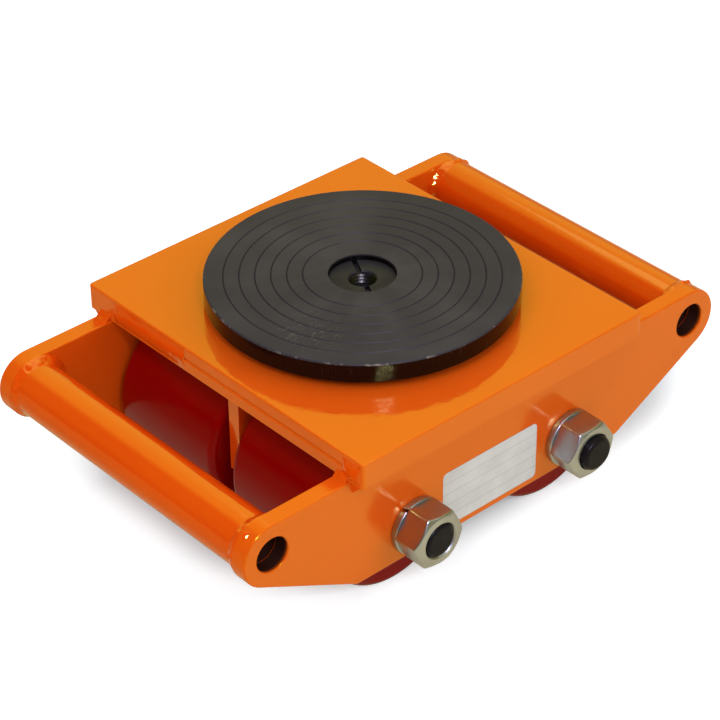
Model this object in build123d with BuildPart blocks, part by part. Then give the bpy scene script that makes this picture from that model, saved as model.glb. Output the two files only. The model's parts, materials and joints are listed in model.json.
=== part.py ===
"""Four-roller machine skate with a turntable top.

A welded steel frame carries two axles. Each axle holds two rollers on ball bearings, and the load
stands on a disc that turns on a thrust bearing let into the deck. Millimetres. +X is the way it rolls,
+Y is its left side, +Z is up, and the origin is on the ground below the middle of the deck.
"""

from build123d import *
import os
from math import acos, atan2, degrees, hypot, radians, sqrt, tan

# Rollers
roller_diameter = 91.0
roller_width = 80.0
roller_shoulder = 4.0
roller_side_gap = 3.75
core_wall = 9.0
core_recess = 1.0
core_relief_diameter = 40.0

# Roller bearings
bearing_bore = 20.0
bearing_outside = 47.0
bearing_width = 14.0
bearing_ring_wall = 4.3
bearing_ball = 7.9
bearing_ball_count = 8
bearing_corner = 1.0
cage_wall = 3.0
cage_width = 10.4
seal_thickness = 1.0
seal_inset = 0.5
seal_lip_gap = 0.3

# Axles and their fasteners
axle_spacing = 112.4
axle_diameter = bearing_bore
axle_end_round = 2.5
axle_end_proud = 4.0
axle_end_flush = 0.6
sleeve_wall = 3.0
collar_wall = 4.0
nut_across_flats = 30.0
nut_height = 16.0
hex_face_inset = 1.2
hex_chamfer_angle = 30.0
nut_bore_chamfer = 0.8
rear_nut_turn = -4.5
front_nut_turn = 3.0
washer_outside = 32.8
washer_thickness = 4.0
washer_split = 2.0
washer_split_slant = 20.0
rear_washer_split_angle = 121.5
front_washer_split_angle = 250.0

# Deck
deck_length = 200.0
deck_overhang = 9.5
deck_top_thickness = 8.0
deck_base_thickness = 7.0
deck_corner_round = 2.0
deck_edge_round = 1.0
seam_bevel = 1.2
axle_drop = 49.5

# Side plates and rib
side_plate_thickness = 10.0
side_plate_foot_inset = 4.5
side_plate_below_axle = 19.0
side_plate_foot_round = 4.0
plate_edge_round = 1.0
link_reach = 51.0
link_end_radius = 18.5
link_hole_diameter = 20.0
link_hole_chamfer = 0.6
rib_thickness = 8.0
rib_end_inset = 8.5
rib_foot_chamfer = 14.0
rib_notch_width = 33.0
rib_notch_depth = 26.0
rib_notch_round = 5.0

# Pull bars
bar_diameter = 30.4
bar_wall = 2.0
bar_shift_out = 1.5
front_bar_rise = 2.0
rear_bar_rise = 0.5

# Welds
bar_weld_leg_radial = 1.3
bar_weld_leg_axial = 5.0
bar_weld_crown = 1.0
side_weld_leg = 7.5
side_weld_hollow = 1.2
side_weld_inset = 1.0
rib_weld_leg = 3.5
seam_weld_height = 12.0
seam_weld_crown = 1.6
seam_weld_long = 60.0
seam_weld_short = 13.0
seam_weld_corner_gap = 2.0
seam_flush_length = 22.0

# Turntable
disc_diameter = 170.6
disc_thickness = 11.5
disc_gap = 4.5
disc_edge_round = 1.0
groove_count = 6
groove_first_radius = 32.0
groove_pitch = 8.5
groove_width = 1.0

# Thrust bearing
thrust_bore = 55.0
thrust_outside = 78.0
thrust_height = 16.0
thrust_race_height = 5.0
thrust_bore_relief = 1.0
thrust_ball = 8.0
thrust_ball_count = 18
thrust_cage_thickness = 4.0
thrust_cage_gap = 0.8

# Pivot
pivot_recess_diameter = 37.0
pivot_recess_depth = 3.4
pivot_head_thickness = 5.0
pivot_head_gap = 0.25
pivot_lift_gap = 0.2
pivot_shank_diameter = 24.0
pivot_spigot_gap = 3.0
pivot_thread_diameter = 14.7
pivot_thread_depth = 8.4
pivot_thread_chamfer = 0.8
pivot_slot_width = 3.0
pivot_slot_depth = 2.6
pivot_slot_angle = 62.7
pivot_bolt_diameter = 12.7
pivot_bolt_end_gap = 0.5
pivot_bolt_hole_gap = 1.15
pivot_bolt_across_flats = 21.0
pivot_bolt_head_height = 8.8
pivot_bolt_chamfer = 1.2
pivot_washer_outside = 24.1
pivot_washer_thickness = 3.5

# Clearances, on the radius
seat_fit = 0.02
running_fit = 0.05
ball_gap = 0.1
pocket_gap = 0.2
axle_hole_gap = 0.25
washer_hole_gap = 0.25

# Heights
axle_z = roller_diameter / 2
deck_bottom_z = axle_z + axle_drop
deck_seam_z = deck_bottom_z + deck_base_thickness
deck_top_z = deck_seam_z + deck_top_thickness
disc_bottom_z = deck_top_z + disc_gap
disc_top_z = disc_bottom_z + disc_thickness
plate_bottom_z = axle_z - side_plate_below_axle
link_z = deck_bottom_z - link_end_radius
thrust_top_z = deck_seam_z + thrust_height
thrust_mid_z = deck_seam_z + thrust_height / 2
pivot_head_top_z = disc_top_z - pivot_recess_depth
pivot_shoulder_z = pivot_head_top_z - pivot_head_thickness
spigot_bottom_z = deck_seam_z + pivot_spigot_gap
pivot_thread_floor_z = pivot_head_top_z - pivot_thread_depth
pivot_bolt_head_z = deck_bottom_z - pivot_washer_thickness

# Places along the skate and across it
axle_x = axle_spacing / 2
link_x = deck_length / 2 + link_reach
bar_places = {
    "front": (link_x + bar_shift_out, link_z + front_bar_rise),
    "rear": (-link_x - bar_shift_out, link_z + rear_bar_rise),
}
foot_x = deck_length / 2 - side_plate_foot_inset
rib_half_length = deck_length / 2 - rib_end_inset
bay_width = roller_width + 2 * roller_side_gap
bay_mid_y = rib_thickness / 2 + bay_width / 2
plate_inner_y = rib_thickness / 2 + bay_width
plate_outer_y = plate_inner_y + side_plate_thickness
deck_half_width = plate_outer_y + deck_overhang
seam_long_y = deck_half_width - seam_flush_length
seam_short_y = deck_half_width - seam_weld_corner_gap
nut_seat_y = plate_outer_y + washer_thickness
nut_face_y = nut_seat_y + nut_height

# Radii
tread_radius = roller_diameter / 2
core_radius = bearing_outside / 2 + core_wall
axle_radius = axle_diameter / 2
link_hole_radius = link_hole_diameter / 2
bar_radius = bar_diameter / 2
inner_ring_radius = bearing_bore / 2 + bearing_ring_wall
outer_ring_radius = bearing_outside / 2 - bearing_ring_wall
bearing_pitch_radius = (bearing_bore + bearing_outside) / 4
thrust_pitch_radius = (thrust_bore + thrust_outside) / 4
bearing_offset = roller_width / 2 - core_recess - bearing_width / 2

os.makedirs("parts", exist_ok=True)


def save(builder, name):
    """Labels a finished piece and writes its STEP file."""
    builder.part.label = name
    export_step(builder.part, f"parts/{name}.step")


def across(x, y, z):
    """A plane square to the axles at a point, facing the skate's right side, with its own y upwards."""
    return Plane(origin=(x, y, z), x_dir=(1, 0, 0), z_dir=(0, -1, 0))


def spring_washer(outside, hole_radius, thickness, angle):
    """A split lock washer pressed flat, its axis on Z and its lower face at zero."""
    with BuildPart() as washer:
        with BuildSketch():
            Circle(outside / 2)
            Circle(hole_radius, mode=Mode.SUBTRACT)
        extrude(amount=thickness)
        slot = Plane.XY.rotated((0, 0, angle)).offset(thickness / 2)
        with Locations(slot):
            with Locations(Location((outside / 2, 0, 0), (washer_split_slant, 0, 0))):
                Box(outside, washer_split, 3 * thickness, mode=Mode.SUBTRACT)
    return washer.part


def hexagon(across_flats, height, turn, both_ends=False):
    """A hexagonal bar on Z from zero up, the corners of its upper end or both turned off to a cone."""
    with BuildPart() as bar:
        with BuildSketch():
            RegularPolygon(across_flats / 2, 6, major_radius=False, rotation=turn)
        extrude(amount=height)
        with BuildSketch(Plane.XZ):
            corner = across_flats / sqrt(3)
            face = across_flats / 2 - hex_face_inset
            drop = (corner - face) * tan(radians(hex_chamfer_angle))
            lower_end = [(face, 0), (corner, drop)] if both_ends else [(corner, 0)]
            with BuildLine():
                Polyline((0, 0), *lower_end, (corner, height - drop), (face, height), (0, height))
                Line((0, height), (0, 0))
            make_face()
        revolve(axis=Axis.Z, mode=Mode.INTERSECT)
    return bar.part


# Deck: two plates, their meeting edges bevelled at both ends and ground flush elsewhere

with BuildPart() as seam_grooves:
    with BuildSketch(Plane.XZ.offset(-seam_long_y)):
        with Locations((-deck_length / 2, deck_seam_z)):
            RegularPolygon(seam_bevel, 4)
    extrude(amount=seam_long_y + seam_short_y - seam_weld_short)
    add(seam_grooves.part.rotate(Axis.Z, 180))

with BuildPart() as deck_top_plate:
    with BuildSketch(Plane.XY.offset(deck_seam_z)):
        RectangleRounded(deck_length, 2 * deck_half_width, deck_corner_round)
        Circle(thrust_outside / 2 + seat_fit, mode=Mode.SUBTRACT)
    extrude(amount=deck_top_thickness)
    fillet(faces().sort_by(Axis.Z)[-1].outer_wire().edges(), deck_edge_round)
    add(seam_grooves.part, mode=Mode.SUBTRACT)
save(deck_top_plate, "deck_top_plate")

with BuildPart() as deck_base_plate:
    with BuildSketch(Plane.XY.offset(deck_bottom_z)):
        RectangleRounded(deck_length, 2 * deck_half_width, deck_corner_round)
        Circle(pivot_bolt_diameter / 2 + pivot_bolt_hole_gap, mode=Mode.SUBTRACT)
    extrude(amount=deck_base_thickness)
    add(seam_grooves.part, mode=Mode.SUBTRACT)
save(deck_base_plate, "deck_base_plate")

# Side plates: level top, round drilled ends, and a straight slant from each end down to the foot

foot_bearing = degrees(atan2(plate_bottom_z - link_z, foot_x - link_x))
foot_distance = hypot(plate_bottom_z - link_z, foot_x - link_x)
slant_angle = foot_bearing + degrees(acos(link_end_radius / foot_distance))

with BuildPart() as side_plate_right:
    with BuildSketch(Plane.XZ.offset(plate_inner_y)):
        with BuildLine():
            top = Line((0, deck_bottom_z), (link_x, deck_bottom_z))
            nose = CenterArc((link_x, link_z), link_end_radius, 90, slant_angle - 90)
            slant = Line(nose @ 1, (foot_x, plate_bottom_z))
            foot = Line(slant @ 1, (0, plate_bottom_z))
            mirror(about=Plane.YZ)
        make_face()
        fillet(vertices().group_by(Axis.Y)[0], side_plate_foot_round)
        with Locations((-link_x, link_z), (link_x, link_z)):
            Circle(link_hole_radius, mode=Mode.SUBTRACT)
        with Locations((-axle_x, axle_z), (axle_x, axle_z)):
            Circle(axle_radius + axle_hole_gap, mode=Mode.SUBTRACT)
    extrude(amount=side_plate_thickness)
    outer_face = faces().sort_by(Axis.Y)[0]
    inner_face = faces().sort_by(Axis.Y)[-1]
    fillet(outer_face.outer_wire().edges() + inner_face.outer_wire().edges(), plate_edge_round)
    link_rims = edges().filter_by(GeomType.CIRCLE).filter_by(lambda rim: rim.radius == link_hole_radius)
    chamfer(link_rims.group_by(Axis.Y)[0], link_hole_chamfer)
save(side_plate_right, "side_plate_right")

with BuildPart() as side_plate_left:
    mirror(side_plate_right.part, about=Plane.XZ)
save(side_plate_left, "side_plate_left")

# Centre rib, notched for the pivot bolt

with BuildPart() as centre_rib:
    with BuildSketch(Plane.XZ):
        with BuildLine():
            Polyline(
                (-rib_half_length, deck_bottom_z),
                (-rib_half_length, plate_bottom_z + rib_foot_chamfer),
                (-rib_half_length + rib_foot_chamfer, plate_bottom_z),
                (rib_half_length - rib_foot_chamfer, plate_bottom_z),
                (rib_half_length, plate_bottom_z + rib_foot_chamfer),
                (rib_half_length, deck_bottom_z),
                close=True,
            )
        make_face()
        with Locations((-axle_x, axle_z), (axle_x, axle_z)):
            Circle(axle_radius + axle_hole_gap, mode=Mode.SUBTRACT)
        with Locations((0, deck_bottom_z - rib_notch_depth / 2)):
            Rectangle(rib_notch_width, rib_notch_depth, mode=Mode.SUBTRACT)
    extrude(amount=rib_thickness / 2, both=True)
    notch_corners = edges().filter_by(Axis.Y).filter_by_position(
        Axis.Z, deck_bottom_z - rib_notch_depth - 0.1, deck_bottom_z - rib_notch_depth + 0.1
    )
    fillet(notch_corners, rib_notch_round)
save(centre_rib, "centre_rib")

# Pull bars

for end, (x, z) in bar_places.items():
    with BuildPart() as pull_bar:
        with BuildSketch(across(x, 0, z)):
            Circle(bar_radius)
            Circle(bar_radius - bar_wall, mode=Mode.SUBTRACT)
        extrude(amount=plate_inner_y, both=True)
    save(pull_bar, f"pull_bar_{end}")

# Welds

with BuildPart() as bar_weld:
    with BuildSketch(Plane.XY):
        with BuildLine():
            root = (bar_radius, plate_inner_y)
            plate_toe = (bar_radius + bar_weld_leg_radial, plate_inner_y)
            bar_toe = (bar_radius, plate_inner_y - bar_weld_leg_axial)
            crown = (
                bar_radius + bar_weld_leg_radial / 2 + bar_weld_crown,
                plate_inner_y - bar_weld_leg_axial / 2,
            )
            Polyline(bar_toe, root, plate_toe)
            ThreePointArc(plate_toe, crown, bar_toe)
        make_face()
    revolve(axis=Axis.Y)

with BuildPart() as pull_bar_welds:
    for x, z in bar_places.values():
        with Locations((x, 0, z)):
            add(bar_weld.part)
    mirror(about=Plane.XZ)
save(pull_bar_welds, "pull_bar_welds")

with BuildPart() as deck_side_welds:
    with BuildSketch(Plane.YZ):
        with BuildLine():
            root = (plate_outer_y, deck_bottom_z)
            deck_toe = (plate_outer_y + side_weld_leg, deck_bottom_z)
            plate_toe = (plate_outer_y, deck_bottom_z - side_weld_leg)
            hollow = (
                plate_outer_y + side_weld_leg / 2 - side_weld_hollow,
                deck_bottom_z - side_weld_leg / 2 + side_weld_hollow,
            )
            Polyline(deck_toe, root, plate_toe)
            ThreePointArc(plate_toe, hollow, deck_toe)
        make_face()
    extrude(amount=deck_length / 2 - side_weld_inset, both=True)
    mirror(about=Plane.XZ)
save(deck_side_welds, "deck_side_welds")

with BuildPart() as rib_welds:
    weld_length = rib_half_length - rib_notch_width / 2
    with BuildSketch(Plane.YZ.offset(rib_notch_width / 2)):
        with BuildLine():
            Polyline(
                (rib_thickness / 2, deck_bottom_z),
                (rib_thickness / 2 + rib_weld_leg, deck_bottom_z),
                (rib_thickness / 2, deck_bottom_z - rib_weld_leg),
                close=True,
            )
        make_face()
    extrude(amount=weld_length)
    mirror(about=Plane.XZ)
    mirror(about=Plane.YZ)
save(rib_welds, "rib_welds")

# Beads over the seam of the two deck plates: a long one and a short one at each end
with BuildPart() as seam_welds:
    for start_y, travel in ((seam_long_y, seam_weld_long), (-seam_short_y, -seam_weld_short)):
        with BuildSketch(Plane.XZ.offset(-start_y)):
            with BuildLine():
                low = (-deck_length / 2, deck_seam_z - seam_weld_height / 2)
                high = (-deck_length / 2, deck_seam_z + seam_weld_height / 2)
                Line(low, high)
                ThreePointArc(high, (-deck_length / 2 - seam_weld_crown, deck_seam_z), low)
            make_face()
        extrude(amount=travel)
    add(seam_welds.part.rotate(Axis.Z, 180))
save(seam_welds, "deck_seam_welds")

# Axles with their nuts and washers

axle_ends = {
    "front": (axle_x, -(nut_face_y + axle_end_proud), nut_face_y + axle_end_flush),
    "rear": (-axle_x, -(nut_face_y + axle_end_flush), nut_face_y + axle_end_proud),
}
for end, (x, right_y, left_y) in axle_ends.items():
    with BuildPart() as axle:
        with BuildSketch(across(x, right_y, axle_z)):
            Circle(axle_radius)
        extrude(amount=right_y - left_y)
        fillet(edges().filter_by(GeomType.CIRCLE), axle_end_round)
    save(axle, f"axle_{end}")

with BuildPart() as axle_nuts:
    for x, turn in ((axle_x, front_nut_turn), (-axle_x, rear_nut_turn)):
        blank = hexagon(nut_across_flats, nut_height, turn, both_ends=True)
        for face in (1, -1):
            seat = across(x, -face * nut_seat_y, axle_z)
            if face < 0:
                seat = Plane(origin=seat.origin, x_dir=(-1, 0, 0), z_dir=(0, 1, 0))
            with Locations(seat):
                add(blank)
            mouth = seat.offset(nut_height)
            with BuildSketch(seat):
                Circle(axle_radius + seat_fit)
            extrude(amount=nut_height, mode=Mode.SUBTRACT)
            with BuildSketch(mouth):
                Circle(axle_radius + seat_fit + nut_bore_chamfer)
            extrude(amount=-nut_bore_chamfer, taper=45, mode=Mode.SUBTRACT)
save(axle_nuts, "axle_nuts")

with BuildPart() as axle_washers:
    for x, angle in ((axle_x, front_washer_split_angle), (-axle_x, rear_washer_split_angle)):
        ring = spring_washer(washer_outside, axle_radius + washer_hole_gap, washer_thickness, angle)
        with Locations(across(x, -plate_outer_y, axle_z)):
            add(ring)
        with Locations(Plane(origin=(x, plate_outer_y, axle_z), x_dir=(-1, 0, 0), z_dir=(0, 1, 0))):
            add(ring)
save(axle_washers, "axle_spring_washers")

# What the nuts clamp on each axle between the side plates and the rib

bearing_places = [
    (x, bay * bay_mid_y + offset, axle_z)
    for x in (axle_x, -axle_x)
    for bay in (1, -1)
    for offset in (bearing_offset, -bearing_offset)
]
sleeve_length = 2 * bearing_offset - bearing_width
collar_length = bay_width / 2 - bearing_offset - bearing_width / 2

with BuildPart() as spacer_sleeves:
    for x in (axle_x, -axle_x):
        for bay in (1, -1):
            with BuildSketch(across(x, bay * bay_mid_y, axle_z)):
                Circle(axle_radius + seat_fit + sleeve_wall)
                Circle(axle_radius + seat_fit, mode=Mode.SUBTRACT)
            extrude(amount=sleeve_length / 2, both=True)
save(spacer_sleeves, "spacer_sleeves")

with BuildPart() as spacer_collars:
    collar_mid = bay_width / 2 - collar_length / 2
    for x in (axle_x, -axle_x):
        for bay in (1, -1):
            for offset in (collar_mid, -collar_mid):
                with BuildSketch(across(x, bay * bay_mid_y + offset, axle_z)):
                    Circle(axle_radius + seat_fit + collar_wall)
                    Circle(axle_radius + seat_fit, mode=Mode.SUBTRACT)
                extrude(amount=collar_length / 2, both=True)
save(spacer_collars, "spacer_collars")

# One ball bearing, on the Y axis at the origin

with BuildPart() as inner_ring:
    with BuildSketch(Plane.XY):
        with Locations((bearing_bore / 2 + seat_fit, 0)):
            Rectangle(bearing_ring_wall - seat_fit, bearing_width, align=(Align.MIN, Align.CENTER))
        with Locations((bearing_pitch_radius, 0)):
            Circle(bearing_ball / 2 + ball_gap, mode=Mode.SUBTRACT)
    revolve(axis=Axis.Y)

with BuildPart() as outer_ring:
    with BuildSketch(Plane.XY):
        with Locations((outer_ring_radius, 0)):
            Rectangle(bearing_ring_wall - seat_fit, bearing_width, align=(Align.MIN, Align.CENTER))
        chamfer(vertices().group_by(Axis.X)[-1], bearing_corner)
        with Locations((bearing_pitch_radius, 0)):
            Circle(bearing_ball / 2 + ball_gap, mode=Mode.SUBTRACT)
    revolve(axis=Axis.Y)

with BuildPart() as ball_ring:
    with PolarLocations(bearing_pitch_radius, bearing_ball_count):
        Sphere(bearing_ball / 2)

with BuildPart() as ball_cage:
    Cylinder(bearing_pitch_radius + cage_wall / 2, cage_width)
    Cylinder(bearing_pitch_radius - cage_wall / 2, cage_width, mode=Mode.SUBTRACT)
    with PolarLocations(bearing_pitch_radius, bearing_ball_count):
        Cylinder(
            bearing_ball / 2 + pocket_gap, 2 * cage_wall, rotation=(0, 90, 0), mode=Mode.SUBTRACT
        )

with BuildPart() as seal_pair:
    with BuildSketch(Plane.XY):
        seal_mid = bearing_width / 2 - seal_inset - seal_thickness / 2
        seal_inner = inner_ring_radius + seal_lip_gap
        with Locations((seal_inner, seal_mid), (seal_inner, -seal_mid)):
            Rectangle(outer_ring_radius - seal_inner, seal_thickness, align=(Align.MIN, Align.CENTER))
    revolve(axis=Axis.Y)

with BuildPart() as bearing_inner_rings:
    with Locations(*bearing_places):
        add(inner_ring.part)
save(bearing_inner_rings, "bearing_inner_rings")

# Rollers, each with its core and the moving pieces of its two bearings

corners = {
    "front_left": (axle_x, bay_mid_y),
    "front_right": (axle_x, -bay_mid_y),
    "rear_left": (-axle_x, bay_mid_y),
    "rear_right": (-axle_x, -bay_mid_y),
}
for corner, (x, y) in corners.items():
    middle = across(x, y, axle_z)
    bearing_seats = [(x, y + bearing_offset, axle_z), (x, y - bearing_offset, axle_z)]

    with BuildPart() as tread:
        with BuildSketch(middle):
            Circle(tread_radius)
            Circle(core_radius, mode=Mode.SUBTRACT)
        extrude(amount=roller_width / 2, both=True)
        fillet(edges().filter_by(GeomType.CIRCLE).sort_by(SortBy.RADIUS)[-2:], roller_shoulder)
    save(tread, f"roller_tread_{corner}")

    with BuildPart() as core:
        with BuildSketch(middle):
            Circle(core_radius)
            Circle(core_relief_diameter / 2, mode=Mode.SUBTRACT)
        extrude(amount=roller_width / 2 - core_recess, both=True)
        for seat in bearing_seats:
            with BuildSketch(across(*seat)):
                Circle(bearing_outside / 2)
            extrude(amount=bearing_width / 2, both=True, mode=Mode.SUBTRACT)
    save(core, f"roller_core_{corner}")

    with BuildPart() as outer_rings:
        with Locations(*bearing_seats):
            add(outer_ring.part)
    save(outer_rings, f"bearing_outer_rings_{corner}")

    with BuildPart() as seals:
        with Locations(*bearing_seats):
            add(seal_pair.part)
    save(seals, f"bearing_seals_{corner}")

    with BuildPart() as balls:
        with Locations(*[Location(seat, (-90, 0, 0)) for seat in bearing_seats]):
            add(ball_ring.part)
    save(balls, f"bearing_balls_{corner}")

    with BuildPart() as cages:
        with Locations(*[Location(seat, (-90, 0, 0)) for seat in bearing_seats]):
            add(ball_cage.part)
    save(cages, f"bearing_cages_{corner}")

# Turntable disc with its spigot, race seat and turned grooves

spigot_radius = thrust_bore / 2 - seat_fit

with BuildPart() as turntable_disc:
    with BuildSketch(Plane.XZ):
        with BuildLine():
            Polyline(
                (pivot_shank_diameter / 2 + running_fit, spigot_bottom_z),
                (spigot_radius, spigot_bottom_z),
                (spigot_radius, thrust_top_z),
                (thrust_outside / 2 + seat_fit, thrust_top_z),
                (thrust_outside / 2 + seat_fit, disc_bottom_z),
                (disc_diameter / 2, disc_bottom_z),
                (disc_diameter / 2, disc_top_z),
                (pivot_recess_diameter / 2, disc_top_z),
                (pivot_recess_diameter / 2, pivot_shoulder_z - pivot_lift_gap),
                (pivot_shank_diameter / 2 + running_fit, pivot_shoulder_z - pivot_lift_gap),
                close=True,
            )
        make_face()
        for turn in range(groove_count):
            with Locations((groove_first_radius + turn * groove_pitch, disc_top_z)):
                RegularPolygon(groove_width / 2, 4, mode=Mode.SUBTRACT)
    revolve(axis=Axis.Z)
    fillet(edges().filter_by(GeomType.CIRCLE).sort_by(SortBy.RADIUS)[-2:], disc_edge_round)
save(turntable_disc, "turntable_disc")

# Thrust bearing

with BuildPart() as thrust_race_lower:
    with BuildSketch(Plane.XZ):
        with Locations((thrust_outside / 2, deck_seam_z)):
            Rectangle(
                (thrust_outside - thrust_bore) / 2 - thrust_bore_relief,
                thrust_race_height,
                align=(Align.MAX, Align.MIN),
            )
        with Locations((thrust_pitch_radius, thrust_mid_z)):
            Circle(thrust_ball / 2 + ball_gap, mode=Mode.SUBTRACT)
    revolve(axis=Axis.Z)
save(thrust_race_lower, "thrust_race_lower")

with BuildPart() as thrust_race_upper:
    with BuildSketch(Plane.XZ):
        with Locations((thrust_bore / 2, thrust_top_z)):
            Rectangle(
                (thrust_outside - thrust_bore) / 2, thrust_race_height, align=(Align.MIN, Align.MAX)
            )
        with Locations((thrust_pitch_radius, thrust_mid_z)):
            Circle(thrust_ball / 2 + ball_gap, mode=Mode.SUBTRACT)
    revolve(axis=Axis.Z)
save(thrust_race_upper, "thrust_race_upper")

with BuildPart() as thrust_balls:
    with Locations((0, 0, thrust_mid_z)):
        with PolarLocations(thrust_pitch_radius, thrust_ball_count):
            Sphere(thrust_ball / 2)
save(thrust_balls, "thrust_balls")

with BuildPart() as thrust_cage:
    with BuildSketch(Plane.XY.offset(thrust_mid_z)):
        Circle(thrust_outside / 2 - thrust_cage_gap)
        Circle(thrust_bore / 2 + thrust_cage_gap, mode=Mode.SUBTRACT)
        with PolarLocations(thrust_pitch_radius, thrust_ball_count):
            Circle(thrust_ball / 2 + pocket_gap, mode=Mode.SUBTRACT)
    extrude(amount=thrust_cage_thickness / 2, both=True)
save(thrust_cage, "thrust_cage")

# Pivot: a slotted nut let into the disc, held to the deck by a bolt from below

with BuildPart() as pivot_nut:
    with BuildSketch(Plane.XY.offset(deck_seam_z)):
        Circle(pivot_shank_diameter / 2)
    extrude(amount=pivot_shoulder_z - deck_seam_z)
    with BuildSketch(Plane.XY.offset(pivot_shoulder_z)):
        Circle(pivot_recess_diameter / 2 - pivot_head_gap)
    extrude(amount=pivot_head_thickness)
    with BuildSketch(Plane.XY.offset(deck_seam_z)):
        Circle(pivot_bolt_diameter / 2)
    extrude(amount=pivot_thread_floor_z - deck_seam_z, mode=Mode.SUBTRACT)
    with BuildSketch(Plane.XY.offset(pivot_thread_floor_z)):
        Circle(pivot_thread_diameter / 2)
    extrude(amount=pivot_thread_depth, mode=Mode.SUBTRACT)
    chamfer(faces().sort_by(Axis.Z)[-1].inner_wires().edges(), pivot_thread_chamfer)
    with BuildSketch(Plane.XY.offset(pivot_head_top_z)):
        Rectangle(pivot_recess_diameter, pivot_slot_width, rotation=pivot_slot_angle)
    extrude(amount=-pivot_slot_depth, mode=Mode.SUBTRACT)
save(pivot_nut, "pivot_nut")

with BuildPart() as pivot_bolt:
    with Locations(Plane(origin=(0, 0, pivot_bolt_head_z), x_dir=(1, 0, 0), z_dir=(0, 0, -1))):
        add(hexagon(pivot_bolt_across_flats, pivot_bolt_head_height, 0))
    with BuildSketch(Plane.XY.offset(pivot_bolt_head_z)):
        Circle(pivot_bolt_diameter / 2 - seat_fit)
    extrude(amount=pivot_thread_floor_z - pivot_bolt_end_gap - pivot_bolt_head_z)
    chamfer(edges().filter_by(GeomType.CIRCLE).sort_by(Axis.Z)[-1], pivot_bolt_chamfer)
save(pivot_bolt, "pivot_bolt")

with BuildPart() as pivot_washer:
    with Locations((0, 0, pivot_bolt_head_z)):
        hole = pivot_bolt_diameter / 2 + pivot_bolt_hole_gap
        add(spring_washer(pivot_washer_outside, hole, pivot_washer_thickness, 0))
save(pivot_washer, "pivot_spring_washer")
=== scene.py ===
"""Looks of a four-roller machine skate: enamel, weld beads, rollers, fasteners, turntable and studio.

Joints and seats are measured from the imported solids. Lengths are in metres; MM turns millimetres into them.
"""

import json
import logging
import math
import random
from dataclasses import dataclass, field
from enum import Enum
from functools import reduce
from typing import ClassVar

import bmesh
import bpy
from mathutils import Matrix, Vector, noise

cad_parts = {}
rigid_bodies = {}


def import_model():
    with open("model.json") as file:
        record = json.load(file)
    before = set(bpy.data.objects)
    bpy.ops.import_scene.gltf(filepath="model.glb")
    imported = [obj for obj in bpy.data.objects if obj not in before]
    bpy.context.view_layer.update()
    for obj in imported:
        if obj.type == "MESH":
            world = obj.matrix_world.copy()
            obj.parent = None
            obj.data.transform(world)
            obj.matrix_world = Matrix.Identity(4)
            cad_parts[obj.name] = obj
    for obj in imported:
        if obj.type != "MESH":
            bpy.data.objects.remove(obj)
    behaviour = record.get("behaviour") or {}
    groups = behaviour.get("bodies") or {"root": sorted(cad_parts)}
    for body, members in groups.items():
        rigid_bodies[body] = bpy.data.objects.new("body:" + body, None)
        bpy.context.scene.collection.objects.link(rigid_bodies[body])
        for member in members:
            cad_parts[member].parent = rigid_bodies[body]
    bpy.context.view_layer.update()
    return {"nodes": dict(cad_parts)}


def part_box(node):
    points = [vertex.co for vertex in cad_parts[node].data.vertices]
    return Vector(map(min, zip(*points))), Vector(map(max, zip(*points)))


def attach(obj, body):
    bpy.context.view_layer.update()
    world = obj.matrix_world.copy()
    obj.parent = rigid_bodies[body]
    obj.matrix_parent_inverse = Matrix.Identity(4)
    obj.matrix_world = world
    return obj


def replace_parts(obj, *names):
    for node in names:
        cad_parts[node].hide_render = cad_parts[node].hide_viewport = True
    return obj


MM = 0.001
MERGE = 0.001 * MM
NEARLY = 0.999
LOG = logging.getLogger("machine_skate")

Colour = tuple[float, float, float, float]
Point = tuple[float, float, float]
Range = tuple[float, float]
Seeds = tuple[int, int, int]
Inputs = dict[str | int, object]
Nodes = dict[str, bpy.types.Object]
Shape = bmesh.types.BMesh
Socket = bpy.types.NodeSocket
Tree = bpy.types.NodeTree
Material = bpy.types.Material

ORIGIN: Point = (0.0, 0.0, 0.0)
WHITE: Colour = (1.0, 1.0, 1.0, 1.0)
COOL_LIGHT: Point = (0.92, 0.90, 1.25)


class End(Enum):
    """The two ends of the skate, with their direction along X."""

    FRONT = 1
    REAR = -1


class Side(Enum):
    """The two sides of the skate, with their direction along Y."""

    LEFT = 1
    RIGHT = -1


class Axis(Enum):
    """The three axes, with their place in a vector."""

    X = 0
    Y = 1
    Z = 2


def label(*places: Enum) -> str:
    """Joins the names of an end and a side as the pieces' names have them."""
    return "_".join(place.name.lower() for place in places)


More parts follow.
